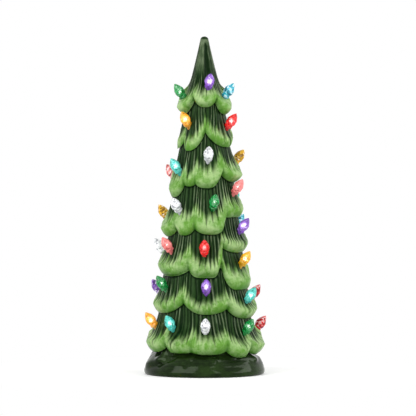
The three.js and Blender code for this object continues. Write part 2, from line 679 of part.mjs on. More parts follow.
// The two-wire lead from the switch up beside the sleeve to the board.
function makeLead() {
  const foot = plateTop + SWITCH_HEIGHT + FIT_GAP;
  const path = new THREE.CatmullRomCurve3([
    new THREE.Vector3(0, switchY, foot),
    new THREE.Vector3(0, switchY, foot + 3),
    new THREE.Vector3(0, leadY, foot + 11),
    new THREE.Vector3(0, leadY, (foot + postTop) / 2),
    new THREE.Vector3(0, leadY, postTop - FIT_GAP),
  ]);
  const section = new THREE.Shape().absarc(0, 0, LEAD_RADIUS, 0, 2 * Math.PI, false);
  return new THREE.ExtrudeGeometry(section, {
    steps: 16, extrudePath: path, curveSegments: 4, bevelEnabled: false,
  });
}

// Materials and the assembly

const finish = (color, roughness, metalness = 0, more = {}) => (
  new THREE.MeshStandardMaterial({ color, roughness, metalness, ...more })
);
const MATERIALS = {
  greenGlaze: finish(0x3f7a2e, 0.25),
  darkGlaze: finish(0x1c2c14, 0.2),
  whitePlastic: finish(0xe9e7e0, 0.5),
  blackPlastic: finish(0x1a1a1c, 0.45),
  cellSleeve: finish(0x3a5f8a, 0.35, 0.3),
  contactMetal: finish(0xc8c8c4, 0.3, 1),
  board: finish(0x1f5a34, 0.4),
  led: finish(0xf4f2e4, 0.1, 0, { transparent: true, opacity: 0.8 }),
  lead: finish(0xa82420, 0.6),
};
const bulbMaterials = Object.fromEntries(Object.entries(COLOURS).map(([name, color]) => [
  name, finish(color, 0.08, 0, { transparent: true, opacity: 0.85, emissive: color }),
]));

const root = new THREE.Group();
const addPiece = (name, geometry, material, parent = root) => {
  const mesh = new THREE.Mesh(geometry, material);
  mesh.name = name;
  parent.add(mesh);
  return mesh;
};

const treeGroup = new THREE.Group();
treeGroup.position.z = BASE_HEIGHT + SEAT_GAP;
root.add(treeGroup);
addPiece('tree_shell', makeTree(), MATERIALS.greenGlaze, treeGroup);
for (const { name, colour, place } of plugs) {
  addPiece(name, plugGeometry, bulbMaterials[colour], treeGroup).applyMatrix4(place);
}

addPiece('base', revolve(BASE_COLUMNS, baseColumn), MATERIALS.darkGlaze);

const lamp = new THREE.Group();
root.add(lamp);
addPiece('lamp_body', makeLampBody(), MATERIALS.whitePlastic, lamp);
addPiece('battery_door', makeDoor(), MATERIALS.whitePlastic, lamp);
addPiece('door_contact', makeDoorContact(), MATERIALS.contactMetal, lamp);
addPiece('positive_terminal', makeTerminal(-1, false), MATERIALS.contactMetal, lamp);
addPiece('negative_terminal', makeTerminal(1, true), MATERIALS.contactMetal, lamp);
addPiece('battery_cell_1', makeCell(-cellX, false), MATERIALS.cellSleeve, lamp);
addPiece('battery_cell_2', makeCell(cellX, true), MATERIALS.cellSleeve, lamp);
addPiece('circuit_board', disc(BOARD_RADIUS, postTop, boardTop, 24), MATERIALS.board, lamp);
for (let i = 0; i < LED_COUNT; i += 1) {
  addPiece(`led_${i + 1}`, makeLed((360 * i) / LED_COUNT), MATERIALS.led, lamp);
}
addPiece('switch_body', makeSwitchBody(), MATERIALS.blackPlastic, lamp);
addPiece('switch_knob', makeKnob(), MATERIALS.blackPlastic, lamp);
addPiece('switch_lead', makeLead(), MATERIALS.lead, lamp);

export default root;
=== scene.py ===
"""A small lighted christmas tree for a shelf, dressed and lit for its portrait.

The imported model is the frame: a hollow glazed tree on a glazed base, coloured bulbs plugged into
its wall, and a battery lamp below. This script puts the carved, painted and glazed surface on the
tree and the base, makes the bulbs as faceted see-through plastic with light inside, and finishes
the lamp. Sizes are millimetres until a mesh is made. Turns are degrees: 0 at the front, 90 at +X.
"""

import json
import logging
import math
from collections.abc import Callable, Sequence
from dataclasses import dataclass, field
from enum import Enum

import bpy
import numpy as np
from mathutils import Matrix, Vector

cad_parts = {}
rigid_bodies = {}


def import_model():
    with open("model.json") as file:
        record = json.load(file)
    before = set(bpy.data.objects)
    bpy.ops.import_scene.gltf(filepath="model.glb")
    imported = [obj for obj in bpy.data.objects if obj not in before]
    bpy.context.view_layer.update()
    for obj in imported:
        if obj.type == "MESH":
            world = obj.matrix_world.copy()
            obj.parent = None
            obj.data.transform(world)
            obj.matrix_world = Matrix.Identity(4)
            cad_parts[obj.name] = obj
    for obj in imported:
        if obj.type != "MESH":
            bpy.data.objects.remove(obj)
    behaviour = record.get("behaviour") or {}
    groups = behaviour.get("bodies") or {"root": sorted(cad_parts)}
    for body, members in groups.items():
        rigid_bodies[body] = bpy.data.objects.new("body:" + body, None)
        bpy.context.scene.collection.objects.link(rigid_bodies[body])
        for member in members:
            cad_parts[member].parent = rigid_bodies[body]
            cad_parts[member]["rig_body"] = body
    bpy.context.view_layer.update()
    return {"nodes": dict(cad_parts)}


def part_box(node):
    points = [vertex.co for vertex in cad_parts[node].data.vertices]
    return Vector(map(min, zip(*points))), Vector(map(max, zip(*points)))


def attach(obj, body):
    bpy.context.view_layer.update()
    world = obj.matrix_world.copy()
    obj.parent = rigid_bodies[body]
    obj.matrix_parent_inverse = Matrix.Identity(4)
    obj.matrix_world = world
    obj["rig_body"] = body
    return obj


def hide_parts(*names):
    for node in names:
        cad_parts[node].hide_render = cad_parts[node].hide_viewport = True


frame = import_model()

MM = 0.001
SEED = 20
PHOTO_SIZE = 416

Colour = tuple[float, float, float]
Column = np.ndarray

log = logging.getLogger("tree")


# Numbers


def mix(first: Column | float, second: Column | float, share: Column | float) -> Column | float:
    """Returns the value that lies the given share of the way from first to second."""
    return first + (second - first) * share


def smooth(low: float, high: float, value: Column | float) -> Column | float:
    """Returns a soft step: 0 below low, 1 above high."""
    share = np.clip((value - low) / (high - low), 0.0, 1.0)
    return share * share * (3 - 2 * share)


def rightwards(start: Column | float, end: Column | float) -> Column | float:
    """Returns the degrees to go rightwards from one turn to another, 0 to 360."""
    return np.mod(end - start, 360.0)


def apart(turn: Column, other: float) -> Column:
    """Returns the degrees between a turn and another, -180 to 180."""
    return np.mod(turn - other + 180.0, 360.0) - 180.0


class Noise:
    """Smooth random values round the tree and along it, the same in every run."""

    ROWS = 64

    def __init__(self, seed: int) -> None:
        """Starts the draws.

        Args:
            seed: Number that all the values come from.
        """
        self._draw = np.random.default_rng(seed)

    def field(self, cells: int) -> Callable[[Column, Column | float], Column]:
        """Makes one random field.

        Args:
            cells: Number of random values round the tree.

        Returns:
            A function of a turn in degrees and a distance along in cells, with values 0 to 1.
        """
        table = self._draw.random((self.ROWS, cells))

        def corner(row: Column, column: Column) -> Column:
            """Returns the random values at the field's corners."""
            return table[np.mod(row, self.ROWS), np.mod(column, cells)]

        def value(turn: Column, along: Column | float) -> Column:
            """Returns the field's value at a place.

            Args:
                turn: Turn in degrees.
                along: Distance along in cells.

            Returns:
                Values of 0 to 1.
            """
            across = np.mod(turn / 360.0, 1.0) * cells
            along = along + np.zeros_like(across)
            column = np.floor(across).astype(int)
            row = np.floor(along).astype(int)
            x = smooth(0, 1, across - column)
            y = smooth(0, 1, along - row)
            upper = mix(corner(row, column), corner(row, column + 1), x)
            lower = mix(corner(row + 1, column), corner(row + 1, column + 1), x)
            return mix(upper, lower, y)

        return value


# Shader maths


class Wire:
    """A shader socket that Python expressions work on: an expression adds its Math nodes."""

    def __init__(self, shop: "NodeShop", socket: bpy.types.NodeSocket) -> None:
        """Wraps a socket.

        Args:
            shop: Maker of the nodes in this socket's material.
            socket: The output that this value comes from.
        """
        self.shop = shop
        self.socket = socket

    def of(self, name: str) -> "Wire":
        """Returns another output of the same node."""
        return Wire(self.shop, self.socket.node.outputs[name])

    def maths(self, operation: str, *values: "Wire | float") -> "Wire":
        """Returns the result of a Math node on these values."""
        return self.shop.node("ShaderNodeMath", {"operation": operation}, dict(enumerate(values)))

    def __add__(self, other: "Wire | float") -> "Wire":
        """Returns self + other."""
        return self.maths("ADD", self, other)

    def __sub__(self, other: "Wire | float") -> "Wire":
        """Returns self - other."""
        return self.maths("SUBTRACT", self, other)

    def __rsub__(self, other: "Wire | float") -> "Wire":
        """Returns other - self."""
        return self.maths("SUBTRACT", other, self)

    def __mul__(self, other: "Wire | float") -> "Wire":
        """Returns self * other."""
        return self.maths("MULTIPLY", self, other)

    def clamped(self) -> "Wire":
        """Returns the value held between 0 and 1."""
        return self.shop.node("ShaderNodeClamp", {}, {"Value": self})

    def step(self, low: float, high: float) -> "Wire":
        """Returns a soft step: 0 below low, 1 above high."""
        values = {"Value": self, "From Min": low, "From Max": high}
        return self.shop.node("ShaderNodeMapRange", {"interpolation_type": "SMOOTHSTEP"}, values)

    __radd__ = __add__
    __rmul__ = __mul__


class NodeShop:
    """Makes the nodes of one material or world."""

    MIX_A, MIX_B, MIX_RESULT = 6, 7, 2

    def __init__(self, tree: bpy.types.NodeTree) -> None:
        """Empties a node tree for new nodes.

        Args:
            tree: Node tree to fill.
        """
        self.tree = tree
        tree.nodes.clear()

    def node(
        self,
        kind: str,
        settings: dict[str, object],
        values: dict[str | int, Wire | float | Sequence[float]],
        output: str | int = 0,
    ) -> Wire:
        """Adds a node.

        Args:
            kind: Blender's type of the node.
            settings: Its properties, set first. "stops" and "interpolation" are a ramp's own.
            values: What goes into its sockets, by name or number.
            output: The output wanted.

        Returns:
            The chosen output, or the first input of a node that has no output.
        """
        made = self.tree.nodes.new(kind)
        for name, value in settings.items():
            if name == "stops":
                self._set_stops(made.color_ramp, value)
            elif name == "interpolation":
                made.color_ramp.interpolation = value
            else:
                setattr(made, name, value)
        for name, value in values.items():
            if isinstance(value, Wire):
                self.tree.links.new(value.socket, made.inputs[name])
            elif isinstance(value, tuple) and made.inputs[name].type == "RGBA" and len(value) == 3:
                made.inputs[name].default_value = (*value, 1.0)
            else:
                made.inputs[name].default_value = value
        if not made.outputs:
            return Wire(self, made.inputs[0])
        return Wire(self, made.outputs[output])

    @staticmethod
    def _set_stops(ramp: bpy.types.ColorRamp, stops: Sequence[tuple[float, Colour]]) -> None:
        """Puts the stops in a colour ramp.

        Args:
            ramp: Ramp to fill.
            stops: Place and colour of each stop.
        """
        while len(ramp.elements) < len(stops):
            ramp.elements.new(1.0)
        for element, (place, colour) in zip(ramp.elements, stops):
            element.position = place
            element.color = (*colour, 1.0)

    def blend(
        self, first: Wire | Colour, second: Wire | Colour, share: Wire | float, kind: str = "MIX"
    ) -> Wire:
        """Mixes two colours.

        Args:
            first: Colour at a share of 0.
            second: Colour at a share of 1.
            share: Share of the way from first to second.
            kind: Blender's name of the way they mix.

        Returns:
            The mixed colour.
        """
        settings = {"data_type": "RGBA", "blend_type": kind}
        values = {0: share, self.MIX_A: first, self.MIX_B: second}
        return self.node("ShaderNodeMix", settings, values, self.MIX_RESULT)

    def tint(self, first: Wire | Colour, second: Wire | Colour, share: Wire | float) -> Wire:
        """Returns the first colour multiplied by the second, by the given share."""
        return self.blend(first, second, share, "MULTIPLY")

    def attribute(self, name: str) -> Wire:
        """Returns a mesh attribute as a vector."""
        return self.node("ShaderNodeAttribute", {"attribute_name": name}, {}, "Vector")

    def parts(self, vector: Wire) -> tuple[Wire, Wire, Wire]:
        """Returns the three numbers of a vector."""
        split = self.node("ShaderNodeSeparateXYZ", {}, {0: vector})
        return split, split.of("Y"), split.of("Z")

    def place(self, stretch: Sequence[float] = (1.0, 1.0, 1.0)) -> Wire:
        """Finds the place on the object.

        Args:
            stretch: How much faster a noise changes along each axis.

        Returns:
            The place in millimetres.
        """
        where = self.node("ShaderNodeTexCoord", {}, {}, "Object")
        scale = [value / MM for value in stretch]
        return self.node("ShaderNodeMapping", {}, {"Vector": where, "Scale": scale})

    def noise(self, where: Wire, scale: float, detail: float = 3.0, roughness: float = 0.5) -> Wire:
        """Returns a noise of 0 to 1 with a feature every 1 / scale."""
        values = {"Vector": where, "Scale": scale, "Detail": detail, "Roughness": roughness}
        return self.node("ShaderNodeTexNoise", {}, values)

    def bump(self, height: Wire, depth: float, strength: float = 1.0) -> Wire:
        """Returns a normal that shows a height of 0 to 1 as so many millimetres."""
        values = {"Height": height, "Distance": depth * MM, "Strength": strength}
        return self.node("ShaderNodeBump", {}, values)

    def surface(self, values: dict[str, Wire | float | Sequence[float]]) -> None:
        """Puts one Principled shader with these values on the material's surface."""
        shader = self.node("ShaderNodeBsdfPrincipled", {}, values)
        self.node("ShaderNodeOutputMaterial", {}, {"Surface": shader})


@dataclass(frozen=True)
class Finish:
    """A surface finish, made into a Blender material the first time it is wanted."""

    def name(self) -> str:
        """Returns the material's name."""
        return type(self).__name__

    def paint(self, shop: NodeShop) -> None:
        """Builds the material's nodes."""
        raise NotImplementedError

    def material(self) -> bpy.types.Material:
        """Finds the Blender material of this finish, or makes it.

        Returns:
            The material.
        """
        made = bpy.data.materials.get(self.name())
        if made is None:
            made = bpy.data.materials.new(self.name())
            made.use_nodes = True
            self.paint(NodeShop(made.node_tree))
        return made


@dataclass(frozen=True)
class BoughGlaze(Finish):
    """Clear glaze over carved dark needles with leaf-green painted edges.

    The mesh says where the paint goes, and where painted light and shade go. "paint" holds the
    height above the painted border in millimetres, the height of the carving (0 in a groove, 1 on a
    ridge) and the nearness of a fold between lobes, where painted shade darkens the leaf green.
    "edge" holds the height above the tier's lower edge in millimetres, where painted shade darkens
    the underside of the rolled edge, and how near the thin top of a needle lies, where painted
    highlights go, and its third number is spare. "grain" is a place that runs along the carved
    needles. "shade" is the painted shade high above the painted border, just under the tier above,
    which dims the painted highlights: where it starts and is full, and where it fades and ends.
    """

    # Painted light and shade: the groove colour is near black partly as painted shade in the grooves;
    # the dry brush colour is dry-brushed paint that also stands in for reflections on the needle tops,
    # a painted highlight; the deep leaf colour is darker paint and also painted shade; the pale colour
    # is pale paint strokes and also a painted highlight near the paint's border.
    groove: Colour = (0.001, 0.009, 0.001)
    needle: Colour = (0.017, 0.045, 0.011)
    dry_brush: Colour = (0.185, 0.235, 0.140)
    leaf: Colour = (0.125, 0.295, 0.045)
    leaf_light: Colour = (0.325, 0.480, 0.200)
    leaf_deep: Colour = (0.035, 0.125, 0.012)
    pale: Colour = (0.460, 0.640, 0.280)
    shade: tuple[float, float, float, float] = (4.5, 11.0, 13.0, 19.0)
    roughness: float = 0.14
    gloss: float = 0.14
    gloss_tint: tuple[float, ...] = (0.62, 0.92, 0.52, 1.0)
    relief: float = 0.3

    def paint(self, shop: NodeShop) -> None:
        """Builds the material's nodes.

        Args:
            shop: Maker of the nodes.
        """
        above, ridge, fold = shop.parts(shop.attribute("paint"))
        from_edge, line, _ = shop.parts(shop.attribute("edge"))
        grain = shop.attribute("grain")
        where = shop.place()
        fine = shop.noise(grain, 2.6, 4.0, 0.6)
        stroke = shop.noise(grain, 1.1, 3.0, 0.5)
        cloud = shop.noise(where, 0.11, 3.0, 0.55)
        wash = shop.noise(where, 0.40, 4.0, 0.6)
        border = above + (fine - 0.5) * 6.5 + (stroke - 0.5) * 3.0
        rim = 1 - border.step(-3.0, 4.2)
        slash = (1 - (ridge + (fine - 0.5) * 0.4).step(0.12, 0.50)) * border.step(-3.6, -0.6)
        near_top = border.step(-3.6, -0.8) * (1 - border.step(0.5, 3.6))
        # Near black in the grooves: the needles' dark paint and painted shade in the recesses.
        body = (ridge * 1.1 + (fine - 0.5) * 0.7).step(0.42, 1.05)
        needles = shop.blend(self.groove, self.needle, body)
        # Painted highlights with dry-brushed paint on the needle tops, dimmed by painted shade under
        # the tier above.
        shade = above.step(*self.shade[:2]) * (1 - above.step(*self.shade[2:]))
        brushed = (line + (fine - 0.5) * 0.9).step(0.30, 0.80)
        brushed = brushed * (0.35 + cloud.step(0.34, 0.58) * 0.65) * (1 - shade * 0.55)
        needles = shop.blend(needles, self.dry_brush, brushed * 0.85)
        leaf = shop.blend(self.leaf, self.leaf_light, (cloud * 0.7 + wash * 0.3).step(0.40, 0.62))
        leaf = shop.blend(leaf, self.leaf_light, fine.step(0.5, 0.8) * 0.45)
        # Painted shade on the underside of the rolled edge and in the folds between lobes, with darker
        # tone at random and in streaks.
        low = (1 - from_edge.step(0.2, 4.4)) * 0.6 + fold.step(0.5, 1.0) * 0.32
        low = low + (1 - wash.step(0.30, 0.5)) * 0.25
        low = low + (1 - fine.step(0.30, 0.46)) * border.step(-6.0, -2.0) * 0.4
        leaf = shop.blend(leaf, self.leaf_deep, low.clamped())
        # Pale paint strokes near the paint's border, partly a painted highlight.
        pale = near_top * (line * 0.6 + fine.step(0.42, 0.66) * 0.5)
        leaf = shop.blend(leaf, self.pale, pale.clamped())
        leaf = shop.blend(leaf, self.groove, slash * 0.85)
        height = fine * (1 - rim) + wash * 0.6 * rim
        shop.surface({
            "Base Color": shop.blend(needles, leaf, rim),
            "Roughness": self.roughness + wash * 0.14,
            "IOR": 1.33,
            "Specular IOR Level": self.gloss,
            "Specular Tint": self.gloss_tint,
            "Normal": shop.bump(height, self.relief, 0.6),
        })


@dataclass(frozen=True)
class GroundGlaze(Finish):
    """Clear glaze over the blackish green ground of the base."""

    ground: Colour = (0.004, 0.010, 0.002)
    moss: Colour = (0.018, 0.040, 0.008)
    roughness: float = 0.07
    gloss: float = 0.25
    gloss_tint: tuple[float, ...] = (0.80, 0.95, 0.72, 1.0)
    relief: float = 0.35

    def paint(self, shop: NodeShop) -> None:
        """Builds the material's nodes.

        Args:
            shop: Maker of the nodes.
        """
        cloud = shop.noise(shop.place((1.0, 1.0, 1.6)), 0.09, 4.0, 0.6)
        grit = shop.noise(shop.place(), 0.5, 3.0, 0.5)
        brush = shop.noise(shop.place((0.5, 0.5, 3.0)), 0.35, 4.0, 0.6)
        mossy = (cloud * 0.8 + brush * 0.4).step(0.45, 0.85)
        shop.surface({
            "Base Color": shop.blend(self.ground, self.moss, mossy),
            "Roughness": self.roughness + grit * 0.1,
            "IOR": 1.33,
            "Specular IOR Level": self.gloss,
            "Specular Tint": self.gloss_tint,
            "Normal": shop.bump(cloud * 0.7 + grit * 0.3, self.relief, 0.5),
        })


class Hue(Enum):
    """Colours of the bulbs' plastic."""

    PURPLE = ("purple", (0.190, 0.070, 0.400), 1.18)
    SKY = ("sky", (0.045, 0.480, 0.620), 1.0)
    GREEN = ("green", (0.000, 0.240, 0.045), 0.70)
    AMBER = ("amber", (0.740, 0.350, 0.006), 1.10)
    RED = ("red", (0.680, 0.006, 0.006), 0.85)
    CLEAR = ("clear", (0.800, 0.820, 0.830), 0.5)
    GOLD = ("gold", (0.700, 0.390, 0.006), 0.9)
    TEAL = ("teal", (0.070, 0.480, 0.420), 1.0)
    PINK = ("pink", (0.760, 0.215, 0.205), 0.55)

    def __init__(self, label: str, colour: Colour, reach: float) -> None:
        """Takes its value apart.

        Args:
            label: The record's name of the colour.
            colour: The plastic's colour.
            reach: How far the light spreads round the hot spot, where 1 is usual.
        """
        self.label = label
        self.colour = colour
        self.reach = reach


@dataclass(frozen=True)
class BulbPlastic(Finish):
    """Moulded see-through plastic that glows in its own colour.

    "facet" is each face's random tone, 0 to 1, that makes it lighter or darker as a painted reflection,
    and "own" the place in the bulb's own frame.
    """

    hue: Hue
    lit: bool
    clear_deep: Colour = (0.30, 0.31, 0.33)

    def name(self) -> str:
        """Returns the material's name."""
        return f"BulbPlastic_{self.hue.label}_{'lit' if self.lit else 'plain'}"

    def paint(self, shop: NodeShop) -> None:
        """Builds the material's nodes.

        Args:
            shop: Maker of the nodes.
        """
        colour = self.hue.colour
        clear = self.hue is Hue.CLEAR
        glowing = self.lit and not clear
        dark = 0.55 if self.lit else 0.3
        deep = self.clear_deep if clear else tuple(value**1.3 * dark for value in colour)
        light = tuple(mix(value, 1.0, 0.1 if glowing else 0.6) for value in colour)
        facet = shop.parts(shop.attribute("facet"))[0]
        own = shop.attribute("own")
        up = shop.parts(own)[2]
        swirl = shop.noise(own, 0.5, 2.0, 0.5)
        facing = shop.node("ShaderNodeLayerWeight", {}, {"Blend": 0.5}, "Facing")
        # Each facet's random tone stands in for reflections in the cut plastic: painted reflections
        # that make some facets lighter and some darker, with swirls in the plastic.
        tone = facet + (swirl - 0.5) * 0.5
        low, high = (-0.05, 0.50) if glowing else (0.0, 0.75)
        body = shop.blend(deep, colour, tone.step(low, high))
        body = shop.blend(body, light, tone.step(0.65, 1.0))
        body = shop.blend(body, deep, (1 - up.step(-0.5, 2.5)) * 0.5)
        through, grazing = 0.72 if glowing else 0.86, 0.98
        shop.surface({
            "Base Color": body,
            "Roughness": 0.04,
            "IOR": 1.4,
            "Specular IOR Level": 0.5 if self.lit else 0.36,
            "Alpha": facing * (grazing - through) + through,
            "Emission Color": body,
            "Emission Strength": (0.1 if clear else 0.3) if self.lit else 0.24,
        })


@dataclass(frozen=True)
class BulbGlow(Finish):
    """Light spread in a bulb's plastic round its hot spot, paler towards the middle.

    The layers are numbered from 1, next to the hot spot, outwards. Each has its share of white,
    how well it covers what lies behind, and its strength.
    """

    hue: Hue
    layer: int
    white: tuple[float, ...] = (0.70, 0.24, 0.05)
    cover: tuple[float, ...] = (0.55, 0.45, 0.38)
    strength: tuple[float, ...] = (3.4, 1.5, 0.8)

    def name(self) -> str:
        """Returns the material's name."""
        return f"BulbGlow_{self.hue.label}_{self.layer}"

    def paint(self, shop: NodeShop) -> None:
        """Builds the material's nodes.

        Args:
            shop: Maker of the nodes.
        """
        i = self.layer - 1
        light = tuple(mix(value, 1.0, self.white[i]) for value in self.hue.colour)
        pale = tuple(mix(value, 1.0, 0.2) for value in light)
        haze = shop.noise(shop.attribute("own"), 0.8, 2.0, 0.5)
        colour = shop.blend(light, pale, haze)
        shop.surface({
            "Base Color": colour,
            "Roughness": 0.5,
            "Alpha": self.cover[i],
            "Emission Color": colour,
            "Emission Strength": self.strength[i] * self.hue.reach,
        })


@dataclass(frozen=True)
class HotSpot(Finish):
    """The white heart of a lit bulb."""

    strength: float = 14.0

    def paint(self, shop: NodeShop) -> None:
        """Builds the material's nodes.

        Args:
            shop: Maker of the nodes.
        """
        shop.surface({
            "Base Color": (1.0, 1.0, 1.0),
            "Emission Color": (1.0, 0.98, 0.94),
            "Emission Strength": self.strength,
        })


@dataclass(frozen=True)
class MouldedPlastic(Finish):
    """Moulded plastic with a fine spark-eroded grain."""

    label: str
    colour: Colour
    roughness: float = 0.42

    def name(self) -> str:
        """Returns the material's name."""
        return f"MouldedPlastic_{self.label}"

    def paint(self, shop: NodeShop) -> None:
        """Builds the material's nodes.

        Args:
            shop: Maker of the nodes.
        """
        where = shop.place()
        grain = shop.noise(where, 3.2, 2.0, 0.5)
        cloud = shop.noise(where, 0.08, 2.0, 0.5)
        worn = tuple(value * 0.93 for value in self.colour)
        shop.surface({
            "Base Color": shop.blend(worn, self.colour, cloud.step(0.3, 0.6)),
            "Roughness": self.roughness + grain * 0.12,
            "IOR": 1.5,
            "Normal": shop.bump(grain, 0.05, 0.5),
        })


@dataclass(frozen=True)
class PlatedMetal(Finish):
    """Nickel-plated spring strip, brushed along its length."""

    colour: Colour = (0.62, 0.60, 0.56)

    def paint(self, shop: NodeShop) -> None:
        """Builds the material's nodes.

        Args:
            shop: Maker of the nodes.
        """
        brushed = shop.noise(shop.place((0.15, 4.0, 4.0)), 1.0, 3.0, 0.6)
        dull = tuple(value * 0.7 for value in self.colour)
        shop.surface({
            "Base Color": shop.blend(dull, self.colour, brushed.step(0.3, 0.6)),
            "Metallic": 1.0,
            "Roughness": 0.22 + brushed * 0.16,
        })


@dataclass(frozen=True)
class CellSleeve(Finish):
    """A cell's printed film: plain blue with a copper-coloured end and bare steel caps.

    "low" and "high" are the heights of the cell's ends. The shares are of its length from the
    nub: where the copper-coloured band ends, and where the film starts and ends.
    """

    low: float
    high: float
    nub_up: bool
    film: Colour = (0.035, 0.110, 0.300)
    band: Colour = (0.560, 0.260, 0.080)
    steel: Colour = (0.600, 0.600, 0.580)
    band_end: float = 0.26
    film_start: float = 0.024
    film_end: float = 0.985
    film_edge: float = 0.003

    def name(self) -> str:
        """Returns the material's name."""
        return f"CellSleeve_{'up' if self.nub_up else 'down'}"

    def paint(self, shop: NodeShop) -> None:
        """Builds the material's nodes.

        Args:
            shop: Maker of the nodes.
        """
        where = shop.place()
        up = shop.parts(where)[2]
        grain = shop.noise(where, 0.8, 3.0, 0.5)
        share = (up - self.low) * (1 / (self.high - self.low))
        from_nub = 1 - share if self.nub_up else share
        filmed = from_nub.step(self.film_start, self.film_start + self.film_edge)
        cap = 1 - filmed * (1 - from_nub.step(self.film_end, self.film_end + self.film_edge))
        stops = [(0.0, self.band), (self.band_end, self.film)]
        bands = {"stops": stops, "interpolation": "CONSTANT"}
        colour = shop.node("ShaderNodeValToRGB", bands, {0: from_nub})
        colour = shop.tint(colour, (0.82, 0.82, 0.82), grain.step(0.4, 0.6))
        shop.surface({
            "Base Color": shop.blend(colour, self.steel, cap),
            "Metallic": cap,
            "Roughness": 0.3 + grain * 0.1,
            "Coat Weight": 1 - cap,
            "Normal": shop.bump(grain, 0.04, 0.3),
        })


@dataclass(frozen=True)
class BoardLacquer(Finish):
    """Green solder lacquer over the paths of a circuit board."""

    lacquer: Colour = (0.012, 0.120, 0.035)
    path: Colour = (0.035, 0.230, 0.070)
    path_spacing: float = 0.9

    def paint(self, shop: NodeShop) -> None:
        """Builds the material's nodes.

        Args:
            shop: Maker of the nodes.
        """
        where = shop.place()
        x, y, _ = shop.parts(where)
        ring = x.maths("SQRT", x * x + y * y)
        paths = ring.maths("PINGPONG", ring, self.path_spacing).step(0.42, 0.5)
        grain = shop.noise(where, 1.2, 2.0, 0.5)
        shop.surface({
            "Base Color": shop.blend(self.lacquer, self.path, paths),
            "Roughness": 0.28 + grain * 0.1,
            "Normal": shop.bump(paths, 0.06, 0.5),
        })


@dataclass(frozen=True)
class LensEpoxy(Finish):
    """Water-clear cast epoxy of a lamp, lit warm white. Body and light run between two colours."""

    body: tuple[Colour, Colour] = ((0.52, 0.50, 0.44), (0.66, 0.64, 0.58))
    light: tuple[Colour, Colour] = ((1.0, 0.80, 0.50), (1.0, 0.93, 0.78))

    def paint(self, shop: NodeShop) -> None:
        """Builds the material's nodes.

        Args:
            shop: Maker of the nodes.
        """
        haze = shop.noise(shop.place(), 0.6, 2.0, 0.5).step(0.3, 0.7)
        facing = shop.node("ShaderNodeLayerWeight", {}, {"Blend": 0.4}, "Facing")
        shop.surface({
            "Base Color": shop.blend(*self.body, haze),
            "Roughness": 0.05,
            "IOR": 1.54,
            "Alpha": 0.55 + facing * 0.4,
            "Emission Color": shop.blend(*self.light, haze),
            "Emission Strength": 0.22,
        })


# Meshes


def add_piece(
    name: str,
    body: str,
    points: np.ndarray,
    faces: Sequence[Sequence[int]],
    finishes: Sequence[Finish],
    *,
    flat: bool = False,
    attributes: dict[str, np.ndarray] | None = None,
    face_attributes: dict[str, np.ndarray] | None = None,
    face_finishes: Sequence[int] | None = None,
) -> bpy.types.Object:
    """Makes a mesh object that rides on a CAD body.

    Args:
        name: Name of the piece.
        body: CAD body that it moves with.
        points: Corners in millimetres.
        faces: Corner numbers of each face.
        finishes: Finish of each material slot.
        flat: Whether each face is shaded flat.
        attributes: Vectors for the shader, one for each corner.
        face_attributes: Numbers for the shader, one for each face.
        face_finishes: Number of the finish on each face.

    Returns:
        The object.
    """
    mesh = bpy.data.meshes.new(name)
    mesh.from_pydata((points * MM).tolist(), [], faces)
    for finish in finishes:
        mesh.materials.append(finish.material())
    if face_finishes is not None:
        mesh.polygons.foreach_set("material_index", np.asarray(face_finishes, np.int32))
    mesh.polygons.foreach_set("use_smooth", np.full(len(mesh.polygons), not flat))
    for attribute, values in (attributes or {}).items():
        layer = mesh.attributes.new(attribute, "FLOAT_VECTOR", "POINT")
        layer.data.foreach_set("vector", np.asarray(values, np.float32).ravel())
    for attribute, values in (face_attributes or {}).items():
        layer = mesh.attributes.new(attribute, "FLOAT", "FACE")
        layer.data.foreach_set("value", np.asarray(values, np.float32))
    mesh.update()
    made = bpy.data.objects.new(name, mesh)
    bpy.context.scene.collection.objects.link(made)
    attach(made, body)
    return made


def moved(points: np.ndarray, place: np.ndarray) -> np.ndarray:
    """Returns points moved by a 4 by 4 matrix."""
    return points @ place[:3, :3].T + place[:3, 3]


